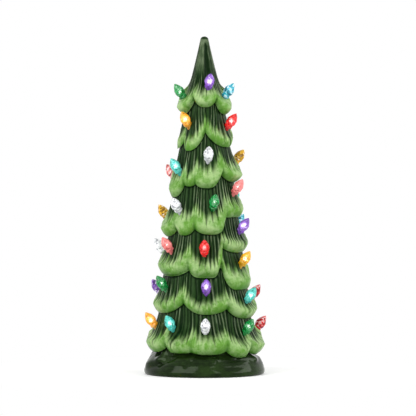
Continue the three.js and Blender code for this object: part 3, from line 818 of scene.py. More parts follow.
@dataclass
class Loom:
    """Weaves rings of points, from one end to the other, into the faces of a closed skin.

    A ring may hold twice as many points as the one before it, half as many, or be one point.
    """

    rings: list[np.ndarray] = field(default_factory=list)
    extras: list[dict[str, np.ndarray]] = field(default_factory=list)

    def add(
        self, radius: Column, height: Column | float, turn: Column, **extras: np.ndarray
    ) -> None:
        """Adds a ring.

        Args:
            radius: Distance of each point from the axis.
            height: Height of each point.
            turn: Turn of each point.
            **extras: Vectors for the shader, one for each point.
        """
        angle = np.radians(turn)
        zero = np.zeros_like(angle)
        points = [radius * np.sin(angle), -radius * np.cos(angle), height + zero]
        self.rings.append(np.stack(points, axis=1))
        self.extras.append(extras)

    def points(self) -> np.ndarray:
        """Returns the points of all rings."""
        return np.concatenate(self.rings)

    def attributes(self) -> dict[str, np.ndarray]:
        """Joins the shader's vectors of all rings.

        Returns:
            The vectors by name, zero where a ring has none.
        """
        names = sorted({name for extras in self.extras for name in extras})
        rows = list(zip(self.rings, self.extras))
        return {
            name: np.concatenate([extras.get(name, np.zeros_like(ring)) for ring, extras in rows])
            for name in names
        }

    def faces(self, closed: bool = False) -> list[tuple[int, ...]]:
        """Weaves the faces between the rings.

        Args:
            closed: Whether the last ring joins the first again.

        Returns:
            The corner numbers of each face.
        """
        counts = [len(ring) for ring in self.rings]
        starts = [sum(counts[:row]) for row in range(len(counts))]
        made: list[tuple[int, ...]] = []
        for row in range(len(counts) if closed else len(counts) - 1):
            below = (row + 1) % len(counts)
            made += self._between(starts[row], starts[below], counts[row], counts[below])
        return made

    @staticmethod
    def _between(top: int, low: int, tops: int, lows: int) -> list[tuple[int, ...]]:
        """Weaves the faces between two rings.

        Args:
            top: Number of the upper ring's first point.
            low: Number of the lower ring's first point.
            tops: Number of points in the upper ring.
            lows: Number of points in the lower ring.

        Returns:
            The corner numbers of each face.
        """
        made: list[tuple[int, ...]] = []
        for i in range(max(tops, lows)):
            j = (i + 1) % max(tops, lows)
            even = i % 2 == 0
            if tops == lows:
                made.append((top + i, low + i, low + j, top + j))
            elif tops == 1:
                made.append((top, low + i, low + j))
            elif lows == 1:
                made.append((top + i, low, top + j))
            elif lows == 2 * tops:
                half, after = top + i // 2, top + (i // 2 + 1) % tops
                made.append((half if even else after, low + i, low + j))
                if even:
                    made.append((half, low + j, after))
            else:
                half, after = low + i // 2, low + (i // 2 + 1) % lows
                made.append((top + i, half if even else after, top + j))
                if even:
                    made.append((top + j, half, after))
        return made


# The tree


@dataclass(frozen=True)
class Lobe:
    """One drooping lobe of a tier. Heights are in percent of the tree's height.

    Attributes:
        tip: Turn of its lowest point.
        low: Height of that point.
        out: How far it stands out from the plain cone, in millimetres.
        notch: Turn of the notch to its right.
        notch_at: Height of that notch.
        square: How square it hangs, where 2 is a parabola.
    """

    tip: float
    low: float
    out: float
    notch: float
    notch_at: float
    square: float = 2.4


@dataclass(frozen=True)
class Tier:
    """A ring of lobes with a rolled lower edge, and how it is carved and painted.

    Attributes:
        name: Name of the tier, as its bulbs have it.
        curl: Height of the rolled edge.
        crease: Depth of the notches and of the valleys beside them.
        straight: Share of the flare that is straight.
        power: How suddenly the rest of the flare comes.
        lobes: The lobes, from left to right.
        band: Height of the painted band above the edge.
        carving: Depth of the carved needles.
        needles: Number of needles all round.
        level: How level the border of the paint runs, 0 to 1.
    """

    name: str
    curl: float
    crease: float
    straight: float
    power: float
    lobes: tuple[Lobe, ...]
    band: float = 7.0
    carving: float = 0.5
    needles: int = 60
    level: float = 0.25


TIERS = (
    Tier("crown", 3.4, 0.7, 0.08, 6, (
        Lobe(1, 77.4, 4.8, 31, 79),
        Lobe(63, 75, 5.3, 96, 79.5),
        Lobe(124, 76.8, 4.6, 152, 79),
        Lobe(180, 76, 4.6, -148, 79.5),
        Lobe(-118, 77, 4.6, -94, 79.1),
        Lobe(-63, 75.3, 5.2, -29, 79.6),
    ), band=8.8, carving=0.55, needles=48, level=0.85),
    Tier("tier_2", 3.8, 1.2, 0.4, 3, (
        Lobe(56, 64.7, 4.4, 94, 68.5),
        Lobe(122, 64.7, 3.4, 150, 68.2),
        Lobe(176, 66, 3.2, -156, 69.3),
        Lobe(-122, 64.5, 2.8, -98, 67.7),
        Lobe(-82, 64.2, 2, -56, 66.2),
        Lobe(-38, 63.6, 2.3, 2, 69.5),
    ), band=5.2, carving=0.62, needles=45),
    Tier("tier_3", 4.2, 1.3, 0.5, 3, (
        Lobe(4, 51.8, 4.7, 34, 56, 2.8),
        Lobe(68, 53.5, 6.6, 100, 56.8),
        Lobe(124, 52.2, 5.2, 148, 55.6),
        Lobe(170, 50.2, 4.8, -164, 53.6),
        Lobe(-136, 51.3, 4.8, -106, 53.9),
        Lobe(-66, 48.8, 4.4, -41, 52.7, 2.8),
        Lobe(-29, 52.3, 3.9, -17, 53.1),
    ), band=7.8, carving=0.7, needles=50),
    Tier("tier_4", 4.8, 1.4, 0.45, 3, (
        Lobe(12, 37.1, 4.8, 38, 42.4, 3),
        Lobe(68, 42.4, 4.6, 104, 45.2, 3),
        Lobe(128, 40.9, 4.9, 152, 43.9),
        Lobe(176, 38.3, 5.1, -160, 41.8),
        Lobe(-132, 36.8, 5.1, -104, 40.2),
        Lobe(-74, 36.2, 5.6, -49, 38.4),
        Lobe(-34, 36.8, 5, -15, 38.9, 2.8),
    ), band=8, carving=0.85, needles=60),
    Tier("tier_5", 5, 1.5, 0.35, 3.2, (
        Lobe(5, 23.8, 4.4, 27, 33, 4.8),
        Lobe(64, 31.2, 5.3, 102, 34.2, 3),
        Lobe(124, 29.9, 4.9, 148, 33.7),
        Lobe(172, 26.1, 4.6, -164, 31),
        Lobe(-134, 24.4, 4.9, -106, 27.8),
        Lobe(-62, 24.1, 5.3, -22, 26.2, 3),
    ), band=3.8, carving=0.85, needles=64),
    Tier("tier_6", 4.8, 1.4, 0.4, 3, (
        Lobe(-20, 27.8, 2.8, 25, 26.4),
        Lobe(54, 19.5, 4.4, 96, 23.6, 4.6),
        Lobe(122, 17.9, 4.2, 150, 21.6),
        Lobe(176, 19.5, 3.7, -150, 27.8),
        Lobe(-90, 28.8, 3, -60, 28.8),
    ), band=4.8, carving=0.85, needles=66),
    Tier("tier_7", 4.8, 1.4, 0.4, 3, (
        Lobe(2, 11.9, 4.9, 29, 13.5),
        Lobe(60, 10.3, 6.3, 100, 13.8, 3),
        Lobe(124, 9.8, 5.4, 146, 13),
        Lobe(168, 11.1, 5.2, -166, 14.6),
        Lobe(-138, 12.3, 5, -108, 15.2),
        Lobe(-66, 12, 4.8, -27, 15.4, 2.8),
    ), band=4.8, carving=0.9, needles=72),
    Tier("tier_8", 5.4, 1.4, 0.35, 3.4, (
        Lobe(5, -0.7, 6.8, 24, 0.3, 3),
        Lobe(43, -1.8, 7, 54, 0.3, 3),
        Lobe(70, -1.2, 7.7, 98, 2.2, 3),
        Lobe(118, -0.6, 7.2, 138, 2, 3),
        Lobe(157, -0.8, 7, 176, 1.8, 3),
        Lobe(-166, -0.4, 6.9, -148, 2.1, 3),
        Lobe(-126, -0.7, 6.9, -98, 1.9, 3),
        Lobe(-68, -0.4, 6.7, -46, 1.6, 3),
        Lobe(-30, -0.3, 6.5, -14, 0.1, 4),
    ), band=6.8, carving=0.9, needles=76, level=0.2),
)


@dataclass(frozen=True)
class Edge:
    """The lower edge of a tier at each turn.

    Attributes:
        low: Height of the edge.
        out: How far it stands out from the plain cone.
        shown: How much of its bulge shows below the tier above, 0 to 1.
        side: Place in the lobe, -1 in the left notch to 0 at the tip and 1 in the right one.
        span: Degrees from the lobe's tip to the notch on this side.
    """

    low: Column
    out: Column
    shown: Column
    side: Column
    span: Column


@dataclass
class TreeForm:
    """The tree's outside at a set of turns: a plain cone and the boughs that flare from it.

    Heights are above its foot, which stands at "seat" above the table. A tier bulges fully where
    its edge hangs "full_bulge_at" below the tier above. Its flare starts "top_reach" above the
    edge of the tier above, evened out over twice "top_window" degrees to either side.
    """

    turn: Column
    seat: float = 14.5
    height: float = 185.5
    tip_radius: float = 2.4
    tip_dome: float = 1.9
    crown_height: float = 40.5
    waist_radius: float = 11.4
    foot_radius: float = 29.5
    wall: float = 2.8
    lip: float = 1.0
    foot_lip: float = 2.4
    undercut: float = 0.8
    foot_skirt: float = 1.3
    hidden_below: float = 0.6
    full_bulge_at: float = 8.0
    top_reach: float = 4.0
    top_window: float = 15.0
    _edges: dict[tuple[int, float], Edge] = field(default_factory=dict)

    def percent(self, share: Column | float) -> Column | float:
        """Returns a height in millimetres from one in percent of the tree's height."""
        return self.height * share / 100

    def core(self, height: Column | float) -> Column:
        """Finds the plain cone under the boughs.

        Args:
            height: Height above the tree's foot.

        Returns:
            The cone's radius.
        """
        waist = self.height - self.crown_height
        top = self.height - self.tip_dome
        share = np.maximum((top - height) / (top - waist), 0)
        crown = mix(self.tip_radius, self.waist_radius, share)
        body = mix(self.foot_radius, self.waist_radius, height / waist)
        return np.where(height > waist, crown, body)

    def _drawn(self, tier: Tier, turn: Column) -> Edge:
        """Draws a tier's edge from its lobes, as if no tier hung over it.

        Args:
            tier: The tier.
            turn: Turns to draw it at.

        Returns:
            The edge.
        """
        low, out, side, span = (np.zeros_like(turn) for _ in range(4))
        for i, one in enumerate(tier.lobes):
            before = tier.lobes[i - 1]
            after = tier.lobes[(i + 1) % len(tier.lobes)]
            gone = rightwards(before.notch, turn)
            to_tip = rightwards(before.notch, one.tip)
            to_notch = rightwards(one.tip, one.notch)
            here = gone < rightwards(before.notch, one.notch)
            left = here & (gone < to_tip)
            for mask, sign, wide, away, notch_at, other in (
                (left, -1, to_tip, rightwards(turn, one.tip), before.notch_at, before),
                (here & ~left, 1, to_notch, rightwards(one.tip, turn), one.notch_at, after),
            ):
                share = np.where(mask, away / wide, 0)
                reach = (one.out + other.out) / 2
                drawn = self.percent(mix(one.low, notch_at, share**one.square))
                low = np.where(mask, drawn, low)
                out = np.where(mask, mix(one.out, reach - tier.crease, share**2), out)
                side = np.where(mask, sign * share, side)
                span = np.where(mask, wide, span)
        return Edge(low, out, np.ones_like(turn), side, span)

    def edge(self, k: int, shift: float = 0.0) -> Edge:
        """Finds the lower edge of a tier as built, once for each place.

        Args:
            k: Number of the tier from the top.
            shift: Degrees to the right of the form's own turns.

        Returns:
            The edge.
        """
        if (k, shift) not in self._edges:
            drawn = self._drawn(TIERS[k], self.turn + shift)
            if k:
                above = self.edge(k - 1, shift).low
                shown = smooth(self.hidden_below, self.full_bulge_at, above - drawn.low)
                low = np.minimum(drawn.low, above - self.hidden_below)
                drawn = Edge(low, drawn.out, shown, drawn.side, drawn.span)
            self._edges[k, shift] = drawn
        return self._edges[k, shift]

    def top(self, k: int) -> Column:
        """Finds where a tier starts to flare.

        Args:
            k: Number of the tier from the top.

        Returns:
            The height at each turn.
        """
        if k == 0:
            return np.full_like(self.turn, self.height - self.tip_dome)
        steps = [self.edge(k - 1, step * self.top_window).low for step in (-2, -1, 0, 1, 2)]
        return sum(steps) / len(steps) + self.top_reach

    def radius(self, k: int, height: Column, widest: Column | None = None) -> Column:
        """Finds the radius of a tier at a height, or of the foot below the last.

        Args:
            k: Number of the tier from the top.
            height: Height at each turn.
            widest: Height of the tier's widest line, if its roll is held short.

        Returns:
            The radius at each turn.
        """
        if k == len(TIERS):
            return self.core(height)
        tier = TIERS[k]
        edge = self.edge(k)
        widest = edge.low + tier.curl if widest is None else widest
        top = self.top(k)
        down = np.clip((top - height) / (top - widest), 0, 1)
        flare = tier.straight * down + (1 - tier.straight) * down**tier.power
        full = self.core(height) + edge.out * flare
        if np.all(edge.shown >= 1):
            return full
        return mix(self.radius(k + 1, height), full, edge.shown)


@dataclass
class Carving:
    """How the needles, folds and flutes are cut into one tier, and where its paint ends.

    Each of the crown's grooves has its turn and how deep it is beside the others. The needles
    fan out by "fan" of the way to the notches. They sway and crowd by so many degrees. The
    crown's needles end, and its flutes start and end, between two shares of the tree's height.
    A name that ends in "length" is how far up the tree something random changes.
    """

    noise: Noise
    tier: Tier
    form: TreeForm
    edge: Edge
    grooves: int = 30
    crown_grooves: tuple[tuple[float, float], ...] = (
        (6, 1.7), (42, 0.6), (78, 0.8), (114, 0.8), (150, 0.8), (186, 0.9), (222, 0.7), (258, 0.9),
        (294, 0.5), (330, 0.2),
    )
    crown_groove_width: float = 19.0
    crown_groove_skew: float = 3.2
    needles_end: tuple[float, float] = (0.862, 0.905)
    flutes_start: tuple[float, float] = (0.81, 0.88)
    flutes_end: tuple[float, float] = (0.965, 0.985)
    first_groove: float = 6.0
    crown_depth: float = 0.8
    crown_full_radius: float = 10.0
    groove_length: float = 22.0
    needle_length: float = 14.0
    top_length: float = 12.0
    top_taper_length: float = 9.0
    full_depth_radius: float = 18.0
    fan: float = 0.3
    sway: float = 8.0
    sway_length: float = 16.0
    crowding: float = 2.4
    fold_width: float = 3.4
    fold_depth: float = 0.26
    dent_depth: float = 0.95
    dent_length: float = 5.5
    faint: float = 0.09
    climb: float = 5.6
    ragged: float = 3.2
    swag: float = 2.4
    least_band: float = 2.5
    needle_drip: float = 2.8

    def __post_init__(self) -> None:
        """Draws the random fields of this tier."""
        self._swaying = self.noise.field(18)
        self._crowded = self.noise.field(48)
        self._strong = self.noise.field(self.grooves * 2)
        self._thread = self.noise.field(self.tier.needles * 3)
        self._torn = self.noise.field(self.tier.needles)
        self._swagged = self.noise.field(14)
        self._dented = self.noise.field(24)

    def along(self, down: Column) -> Column:
        """Returns the turn that the needles here started from, before they fanned out."""
        spread = self.edge.span * np.sin(np.pi * self.edge.side) / np.pi
        return self.form.turn - self.fan * spread * down**1.5

    def swayed(self, flow: Column, height: Column) -> Column:
        """Returns the turns of the needles, which sway and crowd a little."""
        wide = (self._swaying(flow, height / self.sway_length) - 0.5) * self.sway
        return flow + wide + (self._crowded(flow, height / self.needle_length) - 0.5) * self.crowding

    def ridge(self, flow: Column, height: Column) -> Column:
        """Finds the height of the carving.

        Args:
            flow: Turn that the needles here started from.
            height: Height at each turn.

        Returns:
            Values from 0 in a groove to 1 on a ridge.
        """
        flow = self.swayed(flow, height)
        strong = self._strong(flow, height / self.groove_length)
        main = self._groove(flow, self.grooves) ** 0.8
        small = self._groove(flow, self.tier.needles) ** 0.65
        thread = self._thread(flow, height / self.needle_length)
        shape = mix(1.0, small, 0.55 + 0.45 * strong) * (0.55 + 0.45 * main)
        return np.clip(shape * 0.92 + 0.26 * (thread - 0.4), 0, 1)

    def line(self, flow: Column, height: Column) -> Column:
        """Finds the thin tops of the needles, where the glaze gets painted highlights.

        Args:
            flow: Turn that the needles here started from.
            height: Height at each turn.

        Returns:
            How near a top lies, 0 to 1.
        """
        flow = self.swayed(flow, height)
        # Two random fields serve again here, at turns that lie apart from those of the carving.
        strong = self._strong(flow + 77, height / self.top_length)
        narrow = mix(0.90, 0.62, self._thread(flow + 40, height / self.top_taper_length))
        top = self._groove(flow, self.tier.needles)
        return np.clip((top - narrow) / (1 - narrow), 0, 1) ** 0.7 * smooth(0.2, 0.8, strong)

    def _groove(self, turn: Column, count: int) -> Column:
        """Returns 0 in each of so many grooves round the tree, and 1 on the ridges between."""
        return np.abs(np.sin(np.radians(count * (turn - self.first_groove)) / 2))

    def fold(self, down: Column) -> Column:
        """Returns how near the sharp fold between two lobes lies, 0 to 1, where the leaf green gets
        painted shade.
        """
        away = (1 - np.abs(self.edge.side)) * self.edge.span
        return np.exp(-((away / self.fold_width) ** 2)) * down**2.5 * self.edge.shown

    def fluting(self, height: Column) -> Column:
        """Finds the broad flutes in the slim crown, each sharper on its left side.

        Args:
            height: Height at each turn.

        Returns:
            Their depth, 0 to 1 and more in the deepest.
        """
        deep = np.zeros_like(height)
        for turn, strength in self.crown_grooves:
            away = apart(self.form.turn, turn) / self.crown_groove_width
            away = np.where(away < 0, -self.crown_groove_skew * away, away)
            deep = np.maximum(deep, strength * np.exp(-(away**1.5)))
        share = height / self.form.height
        return deep * smooth(*self.flutes_start, share) * (1 - smooth(*self.flutes_end, share))

    def painted_to(self, flow: Column) -> Column:
        """Finds the ragged border of the paint, which climbs into the notches.

        Args:
            flow: Turn that the needles here started from.

        Returns:
            How far above the tier's edge it lies.
        """
        border = self.tier.band + self.climb * np.abs(self.edge.side) ** 2.5
        highest = self.form.percent(max(lobe.low for lobe in self.tier.lobes)) + self.tier.band
        border = mix(border, highest - self.edge.low, self.tier.level)
        border = border + self.ragged * (self._torn(flow, 0.0) - 0.5)
        border = border + self.swag * (self._swagged(flow, 0.0) - 0.5)
        return np.maximum(border, self.least_band)

    def cut(
        self, radius: Column, height: Column, down: Column
    ) -> tuple[Column, dict[str, np.ndarray]]:
        """Carves one ring of points.

        Args:
            radius: Smooth radius at each turn.
            height: Height at each turn.
            down: How far down the tier's flare each point lies, 0 to 1.

        Returns:
            The carved radius, and the shader's vectors.
        """
        flow = self.along(down)
        above = height - self.edge.low
        ridge = self.ridge(flow, height)
        line = self.line(flow, height)
        fold = self.fold(down)
        painted = above - self.painted_to(flow) - self.needle_drip * (ridge - 0.45)
        carved = self.faint * smooth(0.5, 3.5, above)
        carved = carved + (1 - self.faint) * smooth(-4.5, 1.8, painted)
        dent = self.dent_depth * (self._dented(self.form.turn, height / self.dent_length) - 0.5)
        depth = self.tier.carving * np.clip(radius / self.full_depth_radius, 0.3, 1)
        side = np.abs(self.edge.side)
        valley = self.tier.crease * (side**2 - side**4) * down**2 * self.edge.shown
        cut = depth * (1 - ridge) * carved + self.fold_depth * fold + valley + dent * (1 - carved)
        if self.tier is TIERS[0]:
            needled = 1 - smooth(*self.needles_end, height / self.form.height)
            flute = self.fluting(height)
            full = self.crown_depth * np.minimum(radius / self.crown_full_radius, 1)
            cut = cut * needled + flute * full
            # In the flutes the crown is painted dark as shade in the creases; the broad faces between
            # them get the painted highlights of the needle tops.
            ridge = np.clip(mix(0.86, ridge, needled) - 0.6 * flute, 0, 1)
            line = mix(np.clip(0.62 - 0.5 * flute, 0, 1), line, needled)
        angle = np.radians(flow)
        around = self.tier.needles / (2 * np.pi)
        grain = [around * np.sin(angle), around * np.cos(angle), height * 0.11]
        return radius - cut, {
            "paint": np.stack([painted, ridge, fold], axis=1),
            "edge": np.stack([above, line, np.zeros_like(height)], axis=1),
            "grain": np.stack(grain, axis=1),
        }


@dataclass
class GlazedTree:
    """The tree's shell: carved and painted outside, plain hollow inside.

    "dome" rounds off the tip: shares of the tip's radius, and of how far the dome drops.
    "curl_degrees" has a ring for each, round a tier's rolled edge, and "curl_room" is the share
    of a low tier's height that its roll may take. "tuck" sinks the ring under the roll, which is
    coloured near black as painted shade. The names that end in "ridge" are the heights of the
    carving, 0 to 1, that bare rings shade as.
    """

    tip_wall: float = 12.0
    hollow_tip_radius: float = 1.2
    hollow_tip_height: float = 2.0
    hollow_shares: tuple[float, ...] = (0, 0.15, 0.4, 0.7, 1)
    columns: int = 720
    slim_tiers: int = 3
    crown_steps: int = 28
    sheet_steps: int = 11
    dome: tuple[tuple[float, float], ...] = ((0.28, 0.04), (0.52, 0.15), (0.74, 0.33), (0.9, 0.6))
    curl_degrees: tuple[float, ...] = (14, 30, 46, 62, 77, 90)
    curl_flatness: float = 0.6
    curl_room: float = 0.45
    tuck: float = 0.3
    outer_from: float = 0.8
    unpainted: float = 30.0
    tip_ridge: float = 0.62
    under_ridge: float = 0.1
    hollow_ridge: float = 0.3
    form: TreeForm = field(init=False)
    loom: Loom = field(default_factory=Loom, init=False)

    def __post_init__(self) -> None:
        """Forms the tree at every column."""
        self.form = TreeForm(np.arange(self.columns) * 360.0 / self.columns)

    def _plain(self, ridge: float) -> dict[str, np.ndarray]:
        """Makes the shader's vectors of an unpainted ring.

        Args:
            ridge: Height of the carving that it is shaded as, 0 to 1.

        Returns:
            The vectors by name.
        """
        zero = np.zeros(self.columns)
        return {
            "paint": np.stack([zero + self.unpainted, zero + ridge, zero], axis=1),
            "edge": np.stack([zero + self.unpainted, zero, zero], axis=1),
        }

    def _add(
        self, k: int, radius: Column | float, height: Column | float, extras: dict[str, np.ndarray]
    ) -> None:
        """Adds a ring, with half the columns on the slim tiers and one on the axis.

        Args:
            k: Number of the tier from the top.
            radius: Radius at each column, or 0 for a point on the axis.
            height: Height at each column.
            extras: Vectors for the shader.
        """
        step = 2 if k < self.slim_tiers else 1
        if np.ndim(radius) == 0 and radius == 0:
            step = self.columns
        radius, height = (value + np.zeros(self.columns) for value in (radius, height))
        thinned = {name: values[::step] for name, values in extras.items()}
        self.loom.add(radius[::step], height[::step], self.form.turn[::step], **thinned)

    def _lay_tier(self, k: int, noise: Noise, start: Column) -> Column:
        """Lays the rings of a tier: its flare, its rolled edge and one tucked under that.

        Args:
            k: Number of the tier from the top.
            noise: Where its random values come from.
            start: Height at which it starts.

        Returns:
            The height under its edge, where the next one starts.
        """
        form, tier, edge = self.form, TIERS[k], self.form.edge(k)
        carving = Carving(noise, tier, form, edge)
        last = k == len(TIERS) - 1
        roll = np.minimum(tier.curl, (start - edge.low) * self.curl_room)
        widest = edge.low + roll
        outer = mix(form.radius(k + 1, widest), form.core(widest) + edge.out, edge.shown)
        inner = form.radius(k + 1, edge.low) + (form.foot_lip if last else form.lip) * edge.shown
        top = form.top(k)
        steps = self.crown_steps if k == 0 else self.sheet_steps
        for step in range(0 if k == 0 else 1, steps + 1):
            height = mix(start, widest, step / steps)
            rolling = smooth(self.outer_from, 1, step / steps)
            radius = mix(form.radius(k, height, widest), outer, rolling)
            down = np.clip((top - height) / (top - widest), 0, 1)
            radius, extras = carving.cut(radius, height, down)
            self._add(k, radius, height, extras)
        for degrees in self.curl_degrees:
            angle = math.radians(degrees)
            inwards = mix(1 - math.cos(angle), degrees / 90, self.curl_flatness)
            fallen = mix(math.sin(angle), degrees / 90, self.curl_flatness)
            radius = mix(outer, np.minimum(inner, outer), inwards)
            height = widest - roll * fallen
            radius, extras = carving.cut(radius, height, np.ones_like(height))
            self._add(k, radius, height, extras)
        under = edge.low + form.undercut * edge.shown
        if last:
            under = np.maximum(edge.low + form.undercut, form.foot_skirt)
        tucked = form.radius(k + 1, under) - self.tuck
        # The ring under the roll is coloured near black: painted shade under the edge.
        self._add(k, tucked, under, self._plain(self.under_ridge))
        return under

    def _lay_outside(self) -> None:
        """Lays the rings of the outside, from the tip to the foot."""
        form = self.form
        noise = Noise(SEED)
        bare = self._plain(self.tip_ridge)
        self._add(0, 0.0, form.height, bare)
        for reach, drop in self.dome:
            ring = np.full(self.columns, reach * form.tip_radius)
            self._add(0, ring, form.height - drop * form.tip_dome, bare)
        start = np.full(self.columns, form.height - form.tip_dome)
        for k in range(len(TIERS)):
            start = self._lay_tier(k, noise, start)
        self._add(len(TIERS), form.foot_radius, 0.0, bare)

    def _lay_hollow(self) -> None:
        """Lays the rings of the hollow, from the foot to its tip."""
        form = self.form
        foot = len(TIERS)
        bare = self._plain(self.hollow_ridge)
        for share in self.hollow_shares:
            height = np.full(self.columns, (form.height - form.crown_height) * share)
            self._add(foot, form.core(height) - form.wall, height, bare)
        top = form.height - self.tip_wall
        self._add(foot, self.hollow_tip_radius, top - self.hollow_tip_height, bare)
        self._add(foot, 0.0, top, bare)

    def build(self) -> bpy.types.Object:
        """Builds the shell.

        Returns:
            The tree's object.
        """
        self._lay_outside()
        self._lay_hollow()
        made = add_piece(
            "glazed_tree", "tree", self.loom.points() + (0, 0, self.form.seat), self.loom.faces(),
            [BoughGlaze()], attributes=self.loom.attributes(),
        )
        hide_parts("tree_shell")
        return made


# Bulbs


@dataclass(frozen=True)
class Plug:
    """One bulb on a tier.

    Attributes:
        turn: Turn of its seat.
        height: Height of its seat, in percent of the tree's height.
        hue: Colour of its plastic.
        lit: Whether it shines.
    """

    turn: float
    height: float
    hue: Hue
    lit: bool = True


BULBS: dict[str, tuple[Plug, ...]] = {
    "crown": (
        Plug(13, 83.9, Hue.PURPLE), Plug(68, 80.8, Hue.SKY, False), Plug(-68, 80.6, Hue.GREEN),
        Plug(176, 82, Hue.AMBER),
    ),
    "tier_2": (
        Plug(-42, 71.8, Hue.AMBER), Plug(62, 71.2, Hue.RED), Plug(126, 70.6, Hue.CLEAR),
        Plug(-152, 70.3, Hue.PURPLE),
    ),
    "tier_3": (
        Plug(7, 60.9, Hue.CLEAR), Plug(109, 59.6, Hue.GOLD, False), Plug(-53, 57, Hue.TEAL),
        Plug(-125, 54.8, Hue.PINK, False), Plug(152, 58.2, Hue.GREEN), Plug(-166, 57, Hue.RED),
    ),
    "tier_4": (
        Plug(14, 45.8, Hue.GREEN), Plug(-43, 44.6, Hue.CLEAR), Plug(61, 50.3, Hue.PINK),
        Plug(-115, 41.9, Hue.GOLD, False), Plug(134, 46.6, Hue.TEAL), Plug(174, 44.6, Hue.SKY),
    ),
    "tier_5": (
        Plug(0, 31.4, Hue.RED), Plug(-55, 32, Hue.PINK), Plug(64, 38, Hue.PURPLE),
        Plug(124, 38.8, Hue.SKY, False), Plug(-110, 31.1, Hue.CLEAR, False), Plug(168, 33.8, Hue.GOLD),
        Plug(-150, 31, Hue.AMBER),
    ),
    "tier_6": (Plug(60, 27.5, Hue.GOLD), Plug(142, 25.4, Hue.PURPLE)),
    "tier_7": (
        Plug(2, 19.1, Hue.PURPLE), Plug(-58, 19.8, Hue.GREEN), Plug(59, 16.1, Hue.TEAL),
        Plug(108, 16.2, Hue.RED, False), Plug(-117, 17.8, Hue.PURPLE, False), Plug(150, 17.1, Hue.PINK),
        Plug(-158, 18.7, Hue.TEAL),
    ),
    "tier_8": (
        Plug(1, 6.8, Hue.CLEAR), Plug(-38, 7.5, Hue.TEAL), Plug(-74, 7.9, Hue.AMBER),
        Plug(51, 6.2, Hue.GREEN), Plug(104, 6.2, Hue.RED, False), Plug(173, 6.9, Hue.SKY),
        Plug(-138, 7.1, Hue.GOLD),
    ),
}


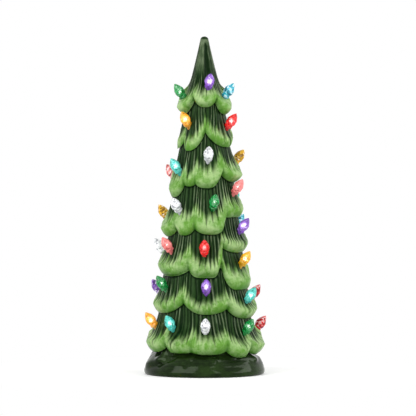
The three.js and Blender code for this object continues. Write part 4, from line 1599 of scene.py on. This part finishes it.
@dataclass
class BulbSet:
    """The faceted plastic bulbs in the tree's wall.

    "peg" and "body" hold radius and height of their rings, from the wall outwards. "glows" holds
    radius and half height of the hot spot and of the layers round it, and "glow_rings" how many
    degrees up from their middle their rings lie.
    """

    lean: float = 36.0
    stand_out: float = 0.9
    sides: int = 8
    body: tuple[tuple[float, float], ...] = (
        (2.30, 1.75), (2.82, 2.7), (3.05, 4.0), (2.86, 5.4), (2.30, 6.8), (1.50, 8.1), (0.68, 9.2),
    )
    peg: tuple[tuple[float, float], ...] = (
        (1.30, -7.5), (1.30, -0.6), (2.30, -0.05), (2.45, 0.2), (2.45, 1.2), (2.25, 1.5),
    )
    tip: float = 9.8
    glow_centre: float = 4.1
    glow_sides: int = 12
    glow_rings: tuple[float, ...] = (60, 40, 20, 0, -20, -40, -60)
    glows: tuple[tuple[float, float], ...] = ((0.85, 1.0), (1.25, 1.5), (1.7, 2.1), (2.25, 2.9))

    def _shell(self) -> tuple[np.ndarray, list[tuple[int, ...]]]:
        """Shapes a bulb: a round peg and collar, then a body of twisted facets.

        Returns:
            Its points and faces.
        """
        loom = Loom()
        around = np.arange(self.sides) * 360.0 / self.sides
        loom.add(np.zeros(1), self.peg[0][1], around[:1])
        for radius, height in self.peg:
            loom.add(np.full(self.sides, radius), height, around)
        for ring, (radius, height) in enumerate(self.body):
            loom.add(np.full(self.sides, radius), height, around + ring * 180.0 / self.sides)
        loom.add(np.zeros(1), self.tip, around[:1])
        faces: list[tuple[int, ...]] = []
        for face in loom.faces():
            if len(face) == 4 and face[0] > self.sides * len(self.peg):
                faces += [(face[0], face[1], face[3]), (face[1], face[2], face[3])]
            else:
                faces.append(face)
        return loom.points(), faces

    def _light(self) -> tuple[np.ndarray, list[tuple[int, ...]], list[int]]:
        """Shapes the hot spot and the glow, one egg inside the other.

        Returns:
            Their points, faces, and the number of each face's finish.
        """
        points: list[np.ndarray] = []
        faces: list[tuple[int, ...]] = []
        finishes: list[int] = []
        around = np.arange(self.glow_sides) * 360.0 / self.glow_sides
        for finish, (radius, half) in enumerate(self.glows):
            loom = Loom()
            loom.add(np.zeros(1), half, around[:1])
            for degrees in self.glow_rings:
                angle = math.radians(degrees)
                ring = np.full(self.glow_sides, radius * math.cos(angle))
                loom.add(ring, half * math.sin(angle), around)
            loom.add(np.zeros(1), -half, around[:1])
            first = sum(len(part) for part in points)
            made = [tuple(corner + first for corner in face) for face in loom.faces()]
            points.append(loom.points())
            faces += made
            finishes += [finish] * len(made)
        return np.concatenate(points), faces, finishes

    def _place(self, k: int, plug: Plug) -> np.ndarray:
        """Finds a bulb's seat on the wall.

        Args:
            k: Number of the tier from the top.
            plug: The bulb.

        Returns:
            The matrix that takes the bulb's own frame there.
        """
        form = TreeForm(np.array([float(plug.turn)]))
        height = form.percent(plug.height)
        radius = float(form.radius(k, np.array([height]))[0]) + self.stand_out
        where = Matrix.Translation((0, -radius, height + form.seat))
        turn = Matrix.Rotation(math.radians(plug.turn), 4, "Z")
        return np.array(turn @ where @ Matrix.Rotation(math.radians(self.lean), 4, "X"))

    def build(self) -> int:
        """Builds the bulbs.

        Returns:
            The number of bulbs.
        """
        shell, faces = self._shell()
        light, light_faces, light_finishes = self._light()
        draw = np.random.default_rng(SEED)
        for k, tier in enumerate(TIERS):
            for i, plug in enumerate(BULBS[tier.name]):
                hue = plug.hue
                node = f"bulb_{tier.name}_{i + 1}_{hue.label}"
                place = self._place(k, plug)
                made = add_piece(
                    f"{node}_plastic", "tree", moved(shell, place), faces,
                    [BulbPlastic(hue, plug.lit)], flat=True,
                    attributes={"own": shell}, face_attributes={"facet": draw.random(len(faces))},
                )
                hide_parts(node)
                if plug.lit:
                    layers = range(1, len(self.glows))
                    finishes = [HotSpot(), *(BulbGlow(hue, layer) for layer in layers)]
                    own = light * hue.reach + (0, 0, self.glow_centre)
                    add_piece(
                        f"{node}_light", "tree", moved(own, place), light_faces, finishes,
                        attributes={"own": own}, face_finishes=light_finishes,
                    )
        return sum(len(plugs) for plugs in BULBS.values())


# The base


@dataclass
class GlazedBase:
    """The low dark base, its ground modelled in soft folds.

    "profile" holds radius and height down the slope, before anything is modelled on it. A fold
    runs from a turn and a share of the way down to another turn and share, and its height and
    width follow. A flap is pulled up between the tree's lobes: its middle turn, its height, and
    half its width in degrees.
    """

    height: float = 14.3
    radius: float = 35.9
    edge: float = 1.1
    rim: float = 8.7
    ledge_width: float = 4.6
    collar_wall: float = 2.2
    collar_rise: float = 4.5
    plate_top: float = 4.0
    gap: float = 0.3
    chamfer: float = 0.4
    hollow_sides: int = 24
    columns: int = 360
    profile: tuple[tuple[float, float], ...] = (
        (28.7, 14.3), (29.4, 13.1), (30.5, 11.7), (32.4, 10.3), (34.0, 8.5), (35.0, 6.7), (35.55, 4.6),
        (35.9, 2.6), (35.7, 1.2), (35.3, 0.4),
    )
    smooth_steps: int = 4
    slope_length: float = 22.0
    lump_height: float = 0.5
    lump_rise: float = 0.8
    sink: float = 0.55
    crumple_depth: float = 0.5
    crumples_round: int = 19
    crumples_down: float = 5.0
    crumple_slant: float = 22.0
    fold_sharpness: float = 1.6
    flap_sharpness: float = 1.3
    sharp_angle: float = 35.0
    folds: tuple[tuple[float, float, float, float, float, float], ...] = (
        (-48, 0.02, -56, 0.30, 1.5, 5.0),
        (-56, 0.30, -74, 0.62, 1.1, 5.5),
        (-34, 0.30, -52, 0.52, -1.0, 3.0),
        (-52, 0.52, -72, 0.74, -0.9, 3.0),
        (-40, 0.26, -14, 0.22, 0.8, 3.4),
        (-14, 0.22, 12, 0.30, 0.7, 3.4),
        (12, 0.30, 34, 0.20, 0.9, 3.4),
        (34, 0.20, 62, 0.36, 0.9, 3.6),
        (62, 0.36, 84, 0.30, 0.8, 4.0),
        (60, 0.02, 66, 0.30, 1.2, 5.0),
        (-14, 0.40, -19, 0.56, -0.7, 1.6),
        (100, 0.10, 128, 0.42, 1.1, 4.6),
        (150, 0.34, 186, 0.20, 0.9, 4.0),
        (196, 0.12, 222, 0.46, 1.2, 4.6),
        (240, 0.30, 276, 0.24, 0.9, 4.0),
        (262, 0.05, 250, 0.40, 1.0, 4.4),
    )
    flaps: tuple[tuple[float, float, float], ...] = (
        (-49, 3.0, 11.0), (55, 1.7, 7.0), (138, 2.2, 9.0), (-148, 2.6, 10.0), (-98, 2.0, 9.0),
        (98, 1.8, 8.0),
    )

    @staticmethod
    def _lump(turn: Column) -> Column:
        """Returns the lumps of the ground, -1 to 1."""
        return 0.6 * np.cos(np.radians(5 * turn + 40)) + 0.4 * np.cos(np.radians(9 * turn - 70))

    def _relief(self, turn: Column, share: float) -> Column:
        """Adds up the folds.

        Args:
            turn: Turn of each point.
            share: Share of the way down the slope.

        Returns:
            How far the folds stand out.
        """
        total = np.zeros_like(turn)
        scale = math.radians(1) * self.radius
        for turn_a, share_a, turn_b, share_b, height, width in self.folds:
            x = apart(turn, turn_a) * scale
            y = (share - share_a) * self.slope_length
            dx, dy = (turn_b - turn_a) * scale, (share_b - share_a) * self.slope_length
            along = np.clip((x * dx + y * dy) / (dx * dx + dy * dy), 0, 1)
            away = np.hypot(x - along * dx, y - along * dy) / width
            total = total + height * np.exp(-(away * self.fold_sharpness) ** 2)
        return total

    def _flaps(self, turn: Column) -> Column:
        """Adds up the flaps.

        Args:
            turn: Turn of each point.

        Returns:
            How far the ground is pulled up.
        """
        total = np.zeros_like(turn)
        for middle, rise, width in self.flaps:
            near = np.maximum(1 - np.abs(apart(turn, middle)) / width, 0)
            total = total + rise * near**self.flap_sharpness
        return total

    @staticmethod
    def _pulled(share: float) -> float:
        """Returns how much of a flap's rise the ground has at a share of the way down."""
        return smooth(0.0, 0.08, share) * (1 - smooth(0.12, 0.40, share))

    def _outside(self, turn: Column) -> list[tuple[Column, Column]]:
        """Models the ground, from the tree's seat to the table. It keeps clear of the tree.

        Args:
            turn: Turn of each point.

        Returns:
            Radius and height of each ring.
        """
        knots = np.array(self.profile)
        count = (len(knots) - 1) * self.smooth_steps
        crumpled = Noise(SEED + 1).field(self.crumples_round)
        out = self.lump_height * self._lump(turn)
        lift = self._flaps(turn)
        clear = (TreeForm(turn).foot_radius + self.gap) * smooth(0.0, 0.1, lift)
        rings = []
        for step, place in enumerate(np.linspace(0, len(knots) - 1, count + 1)):
            share = step / count
            radius, height = (np.interp(place, np.arange(len(knots)), column) for column in knots.T)
            swell = smooth(0.0, 0.25, share) * (1 - smooth(0.55, 0.8, share))
            crumple = crumpled(turn - self.crumple_slant * share, share * self.crumples_down) - 0.5
            crumple = self.crumple_depth * crumple
            relief = self._relief(turn, share) - self.sink + crumple
            radius = np.minimum(radius + swell * (relief + out), self.radius)
            height = height + self.lump_rise * swell * out + lift * self._pulled(share)
            rings.append((np.maximum(radius, clear), height))
        return rings

    def build(self) -> bpy.types.Object:
        """Builds the base.

        Returns:
            The base's object.
        """
        turn = np.arange(self.columns) * 360.0 / self.columns
        form = TreeForm(turn)
        foot = float(form.core(self.collar_rise)) - form.wall
        collar = foot * math.cos(math.pi / self.hollow_sides) - self.gap
        pocket = self.radius - self.rim + self.gap
        bore = min(pocket - self.ledge_width, collar - self.collar_wall)
        top = self.height + self.collar_rise
        bevel = top - self.chamfer
        ledge = self.plate_top + self.gap
        loom = Loom()
        for radius, height in (
            (collar - self.chamfer, top), (collar, bevel), (collar, self.height),
            *self._outside(turn),
            (self.radius - self.edge, 0), (pocket, 0), (pocket, ledge),
            (bore, ledge), (bore, bevel), (bore + self.chamfer, top),
        ):
            loom.add(radius + np.zeros_like(turn), height, turn)
        made = add_piece(
            "glazed_base", "base", loom.points(), loom.faces(closed=True), [GroundGlaze()],
        )
        sharpen(made, self.sharp_angle)
        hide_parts("base")
        return made


def sharpen(piece: bpy.types.Object, degrees: float) -> None:
    """Keeps the edges of a smooth piece sharp where its faces meet at more than an angle."""
    piece.data.set_sharp_from_angle(angle=math.radians(degrees))


# The lamp


@dataclass
class BatteryLamp:
    """The battery lamp that closes the base: moulded pieces with softened edges, and metal."""

    bevel: float = 0.25
    weld: float = 0.005
    sharp_angle: float = 40.0

    def _soften(self, node: str, finish: Finish) -> None:
        """Replaces a CAD node by a copy of it with rounded edges.

        Args:
            node: Name of the CAD node.
            finish: Its finish.
        """
        source = frame["nodes"][node]
        mesh = source.data.copy()
        mesh.materials.clear()
        mesh.materials.append(finish.material())
        made = bpy.data.objects.new(f"{node}_moulded", mesh)
        bpy.context.scene.collection.objects.link(made)
        weld = made.modifiers.new("weld", "WELD")
        weld.merge_threshold = self.weld * MM
        bevel = made.modifiers.new("bevel", "BEVEL")
        bevel.width = self.bevel * MM
        bevel.segments = 2
        bevel.limit_method = "ANGLE"
        bevel.angle_limit = math.radians(self.sharp_angle)
        bevel.use_clamp_overlap = True
        bpy.context.view_layer.update()
        shaped = made.evaluated_get(bpy.context.evaluated_depsgraph_get())
        made.data = bpy.data.meshes.new_from_object(shaped)
        made.modifiers.clear()
        made.data.polygons.foreach_set("use_smooth", np.ones(len(made.data.polygons), bool))
        sharpen(made, self.sharp_angle)
        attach(made, source["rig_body"])
        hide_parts(node)

    def _dress(self, node: str, finish: Finish) -> None:
        """Gives a CAD node its finish.

        Args:
            node: Name of the CAD node.
            finish: Its finish.
        """
        mesh = frame["nodes"][node].data
        mesh.materials.clear()
        mesh.materials.append(finish.material())

    def build(self) -> None:
        """Dresses the lamp."""
        white = MouldedPlastic("white", (0.72, 0.70, 0.64))
        black = MouldedPlastic("black", (0.012, 0.012, 0.014))
        for node, finish, slot in (
            ("lamp_body", white, "white_plastic"),
            ("battery_door", white, "white_plastic"),
            ("circuit_board", BoardLacquer(), "circuit_board"),
            ("switch_body", black, "black_plastic"),
            ("switch_knob", black, "black_plastic"),
        ):
            self._soften(node, finish)
        for node in ("door_contact", "positive_terminal", "negative_terminal"):
            self._dress(node, PlatedMetal())
        for node, nub_up in (("battery_cell_1", True), ("battery_cell_2", False)):
            low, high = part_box(node)
            self._dress(node, CellSleeve(low=low.z / MM, high=high.z / MM, nub_up=nub_up))
        for node in ("led_1", "led_2", "led_3"):
            self._dress(node, LensEpoxy())
        self._dress("switch_lead", MouldedPlastic("red", (0.42, 0.02, 0.015), 0.5))


# Camera, floor and lights


@dataclass(frozen=True)
class Softbox:
    """A rectangular soft light that faces the tree. Its lengths are metres.

    Attributes:
        name: Name of the light.
        azimuth: Where it stands, in degrees from the front towards +X.
        distance: How far from the tree's axis.
        height: Height of its middle.
        size: Width and height.
        brightness: How bright its face is, where 1 is white.
        glossy: Whether it shows in the gloss.
        aim: Height on the tree's axis that it faces.
    """

    name: str
    azimuth: float
    distance: float
    height: float
    size: tuple[float, float]
    brightness: float
    glossy: bool = True
    aim: float = 0.1

    def build(self) -> None:
        """Makes the light."""
        width, height = self.size
        data = bpy.data.lights.new(self.name, "AREA")
        data.shape = "RECTANGLE"
        data.size, data.size_y = self.size
        data.energy = self.brightness * math.pi * width * height
        made = bpy.data.objects.new(self.name, data)
        angle = math.radians(self.azimuth)
        across, back = self.distance * math.sin(angle), -self.distance * math.cos(angle)
        made.location = (across, back, self.height)
        view = Vector((0, 0, self.aim)) - Vector((across, back, self.height))
        made.rotation_euler = view.to_track_quat("-Z", "Y").to_euler()
        made.visible_camera = False
        made.visible_glossy = self.glossy
        bpy.context.scene.collection.objects.link(made)


SOFTBOXES = (
    Softbox("left softbox", -44, 1.1, 0.5, (1.0, 0.55), 5.4),
    Softbox("middle strip", 27, 1.2, 0.45, (0.22, 0.6), 5.0),
    Softbox("right softbox", 82, 1.0, 0.45, (0.75, 0.55), 4.8),
    Softbox("top softbox", -20, 0.5, 1.1, (0.6, 0.6), 1.6, glossy=False),
    Softbox("back softbox", 180, 1.0, 1.0, (1.0, 0.45), 3.0),
)


@dataclass
class Studio:
    """The plain pale table, the camera and the soft lights.

    Lengths are metres, but the camera's sensor is in millimetres, and so is the table's fade
    from its own tone to plain white. The tree's axis and tip are kept at their pixels, counted
    from the left and the top.
    """

    camera_distance: float = 2.4
    camera_height: float = 0.18
    pixels_per_metre: float = 1688.0
    axis_pixel: float = 204.4
    tip_pixel: float = 36.4
    tree_height: float = 0.2
    sensor: float = 36.0
    table_half: float = 12.0
    table_drop: float = 0.0001
    table_fade: tuple[float, float] = (45.0, 150.0)
    table_white: float = 0.88
    table_speck: float = 0.985
    table_glow: float = 0.25
    surroundings: float = 0.42
    white: Colour = (1.0, 1.0, 1.0)

    def camera(self) -> None:
        """Makes the camera that sees the tree as the photograph does."""
        data = bpy.data.cameras.new("camera")
        data.sensor_width = self.sensor
        data.lens = self.sensor * self.camera_distance * self.pixels_per_metre / PHOTO_SIZE
        aim = self.tree_height - (PHOTO_SIZE / 2 - self.tip_pixel) / self.pixels_per_metre
        data.shift_x = (PHOTO_SIZE / 2 - self.axis_pixel) / PHOTO_SIZE
        data.clip_start = 0.05
        data.clip_end = 50.0
        made = bpy.data.objects.new("camera", data)
        made.location = (0, -self.camera_distance, self.camera_height)
        down = math.atan((self.camera_height - aim) / self.camera_distance)
        made.rotation_euler = (math.pi / 2 - down, 0, 0)
        bpy.context.scene.collection.objects.link(made)
        bpy.context.scene.camera = made

    @staticmethod
    def _seen(shop: NodeShop) -> Wire:
        """Tells rays that show the background, as the eye, gloss or glass sees it.

        Args:
            shop: Maker of the nodes.

        Returns:
            1 for such a ray, else 0.
        """
        path = shop.node("ShaderNodeLightPath", {}, {}, "Is Camera Ray")
        either = path.maths("MAXIMUM", path, path.of("Is Glossy Ray"))
        return either.maths("MAXIMUM", either, path.of("Is Transmission Ray"))

    def floor(self) -> None:
        """Makes the pale table top, which runs out into plain white."""
        mesh = bpy.data.meshes.new("floor")
        half = self.table_half
        corners = [(-half, -half, 0), (half, -half, 0), (half, half, 0), (-half, half, 0)]
        mesh.from_pydata(corners, [], [(0, 1, 2, 3)])
        material = bpy.data.materials.new("Floor")
        material.use_nodes = True
        shop = NodeShop(material.node_tree)
        x, y, _ = shop.parts(shop.place())
        away = x.maths("SQRT", x * x + y * y)
        near = 1 - away.step(*self.table_fade)
        speck = shop.noise(shop.place(), 0.02, 3.0, 0.5)
        tone = (self.table_white,) * 3
        specked = (self.table_white * self.table_speck,) * 3
        colour = shop.blend(tone, specked, speck.step(0.4, 0.6))
        seen = self._seen(shop)
        glow = {"Color": self.white, "Strength": seen * self.table_glow}
        lit = shop.node("ShaderNodeEmission", {}, glow)
        shade = shop.node("ShaderNodeBsdfDiffuse", {}, {"Color": colour})
        table = shop.node("ShaderNodeAddShader", {}, {0: shade, 1: lit})
        white_out = shop.node("ShaderNodeEmission", {}, {"Color": self.white, "Strength": 1.0})
        plain = shop.node("ShaderNodeMixShader", {}, {0: seen, 1: shade, 2: white_out})
        both = shop.node("ShaderNodeMixShader", {}, {0: near, 1: plain, 2: table})
        shop.node("ShaderNodeOutputMaterial", {}, {"Surface": both})
        mesh.materials.append(material)
        made = bpy.data.objects.new("floor", mesh)
        made.location.z = -self.table_drop
        bpy.context.scene.collection.objects.link(made)

    def lights(self) -> None:
        """Makes the soft lights and the white surroundings."""
        for softbox in SOFTBOXES:
            softbox.build()
        world = bpy.data.worlds.new("surroundings")
        bpy.context.scene.world = world
        world.use_nodes = True
        shop = NodeShop(world.node_tree)
        strength = self.surroundings + self._seen(shop) * (1 - self.surroundings)
        sky = shop.node("ShaderNodeBackground", {}, {"Color": self.white, "Strength": strength})
        shop.node("ShaderNodeOutputWorld", {}, {"Surface": sky})
        bpy.context.scene.view_settings.view_transform = "Standard"


def write_sizes() -> None:
    """Brings the scene up to date."""
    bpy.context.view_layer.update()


def main() -> None:
    """Builds the tree, its bulbs, the base, the lamp and the studio."""
    logging.basicConfig(level=logging.INFO, format="%(name)s: %(message)s")
    studio = Studio()
    studio.camera()
    tree = GlazedTree().build()
    log.info("glazed tree: %d faces", len(tree.data.polygons))
    log.info("bulbs: %d", BulbSet().build())
    base = GlazedBase().build()
    log.info("glazed base: %d faces", len(base.data.polygons))
    BatteryLamp().build()
    log.info("battery lamp dressed")
    studio.floor()
    studio.lights()
    log.info("studio: %d softboxes", len(SOFTBOXES))
    write_sizes()


if __name__ == "__main__":
    main()
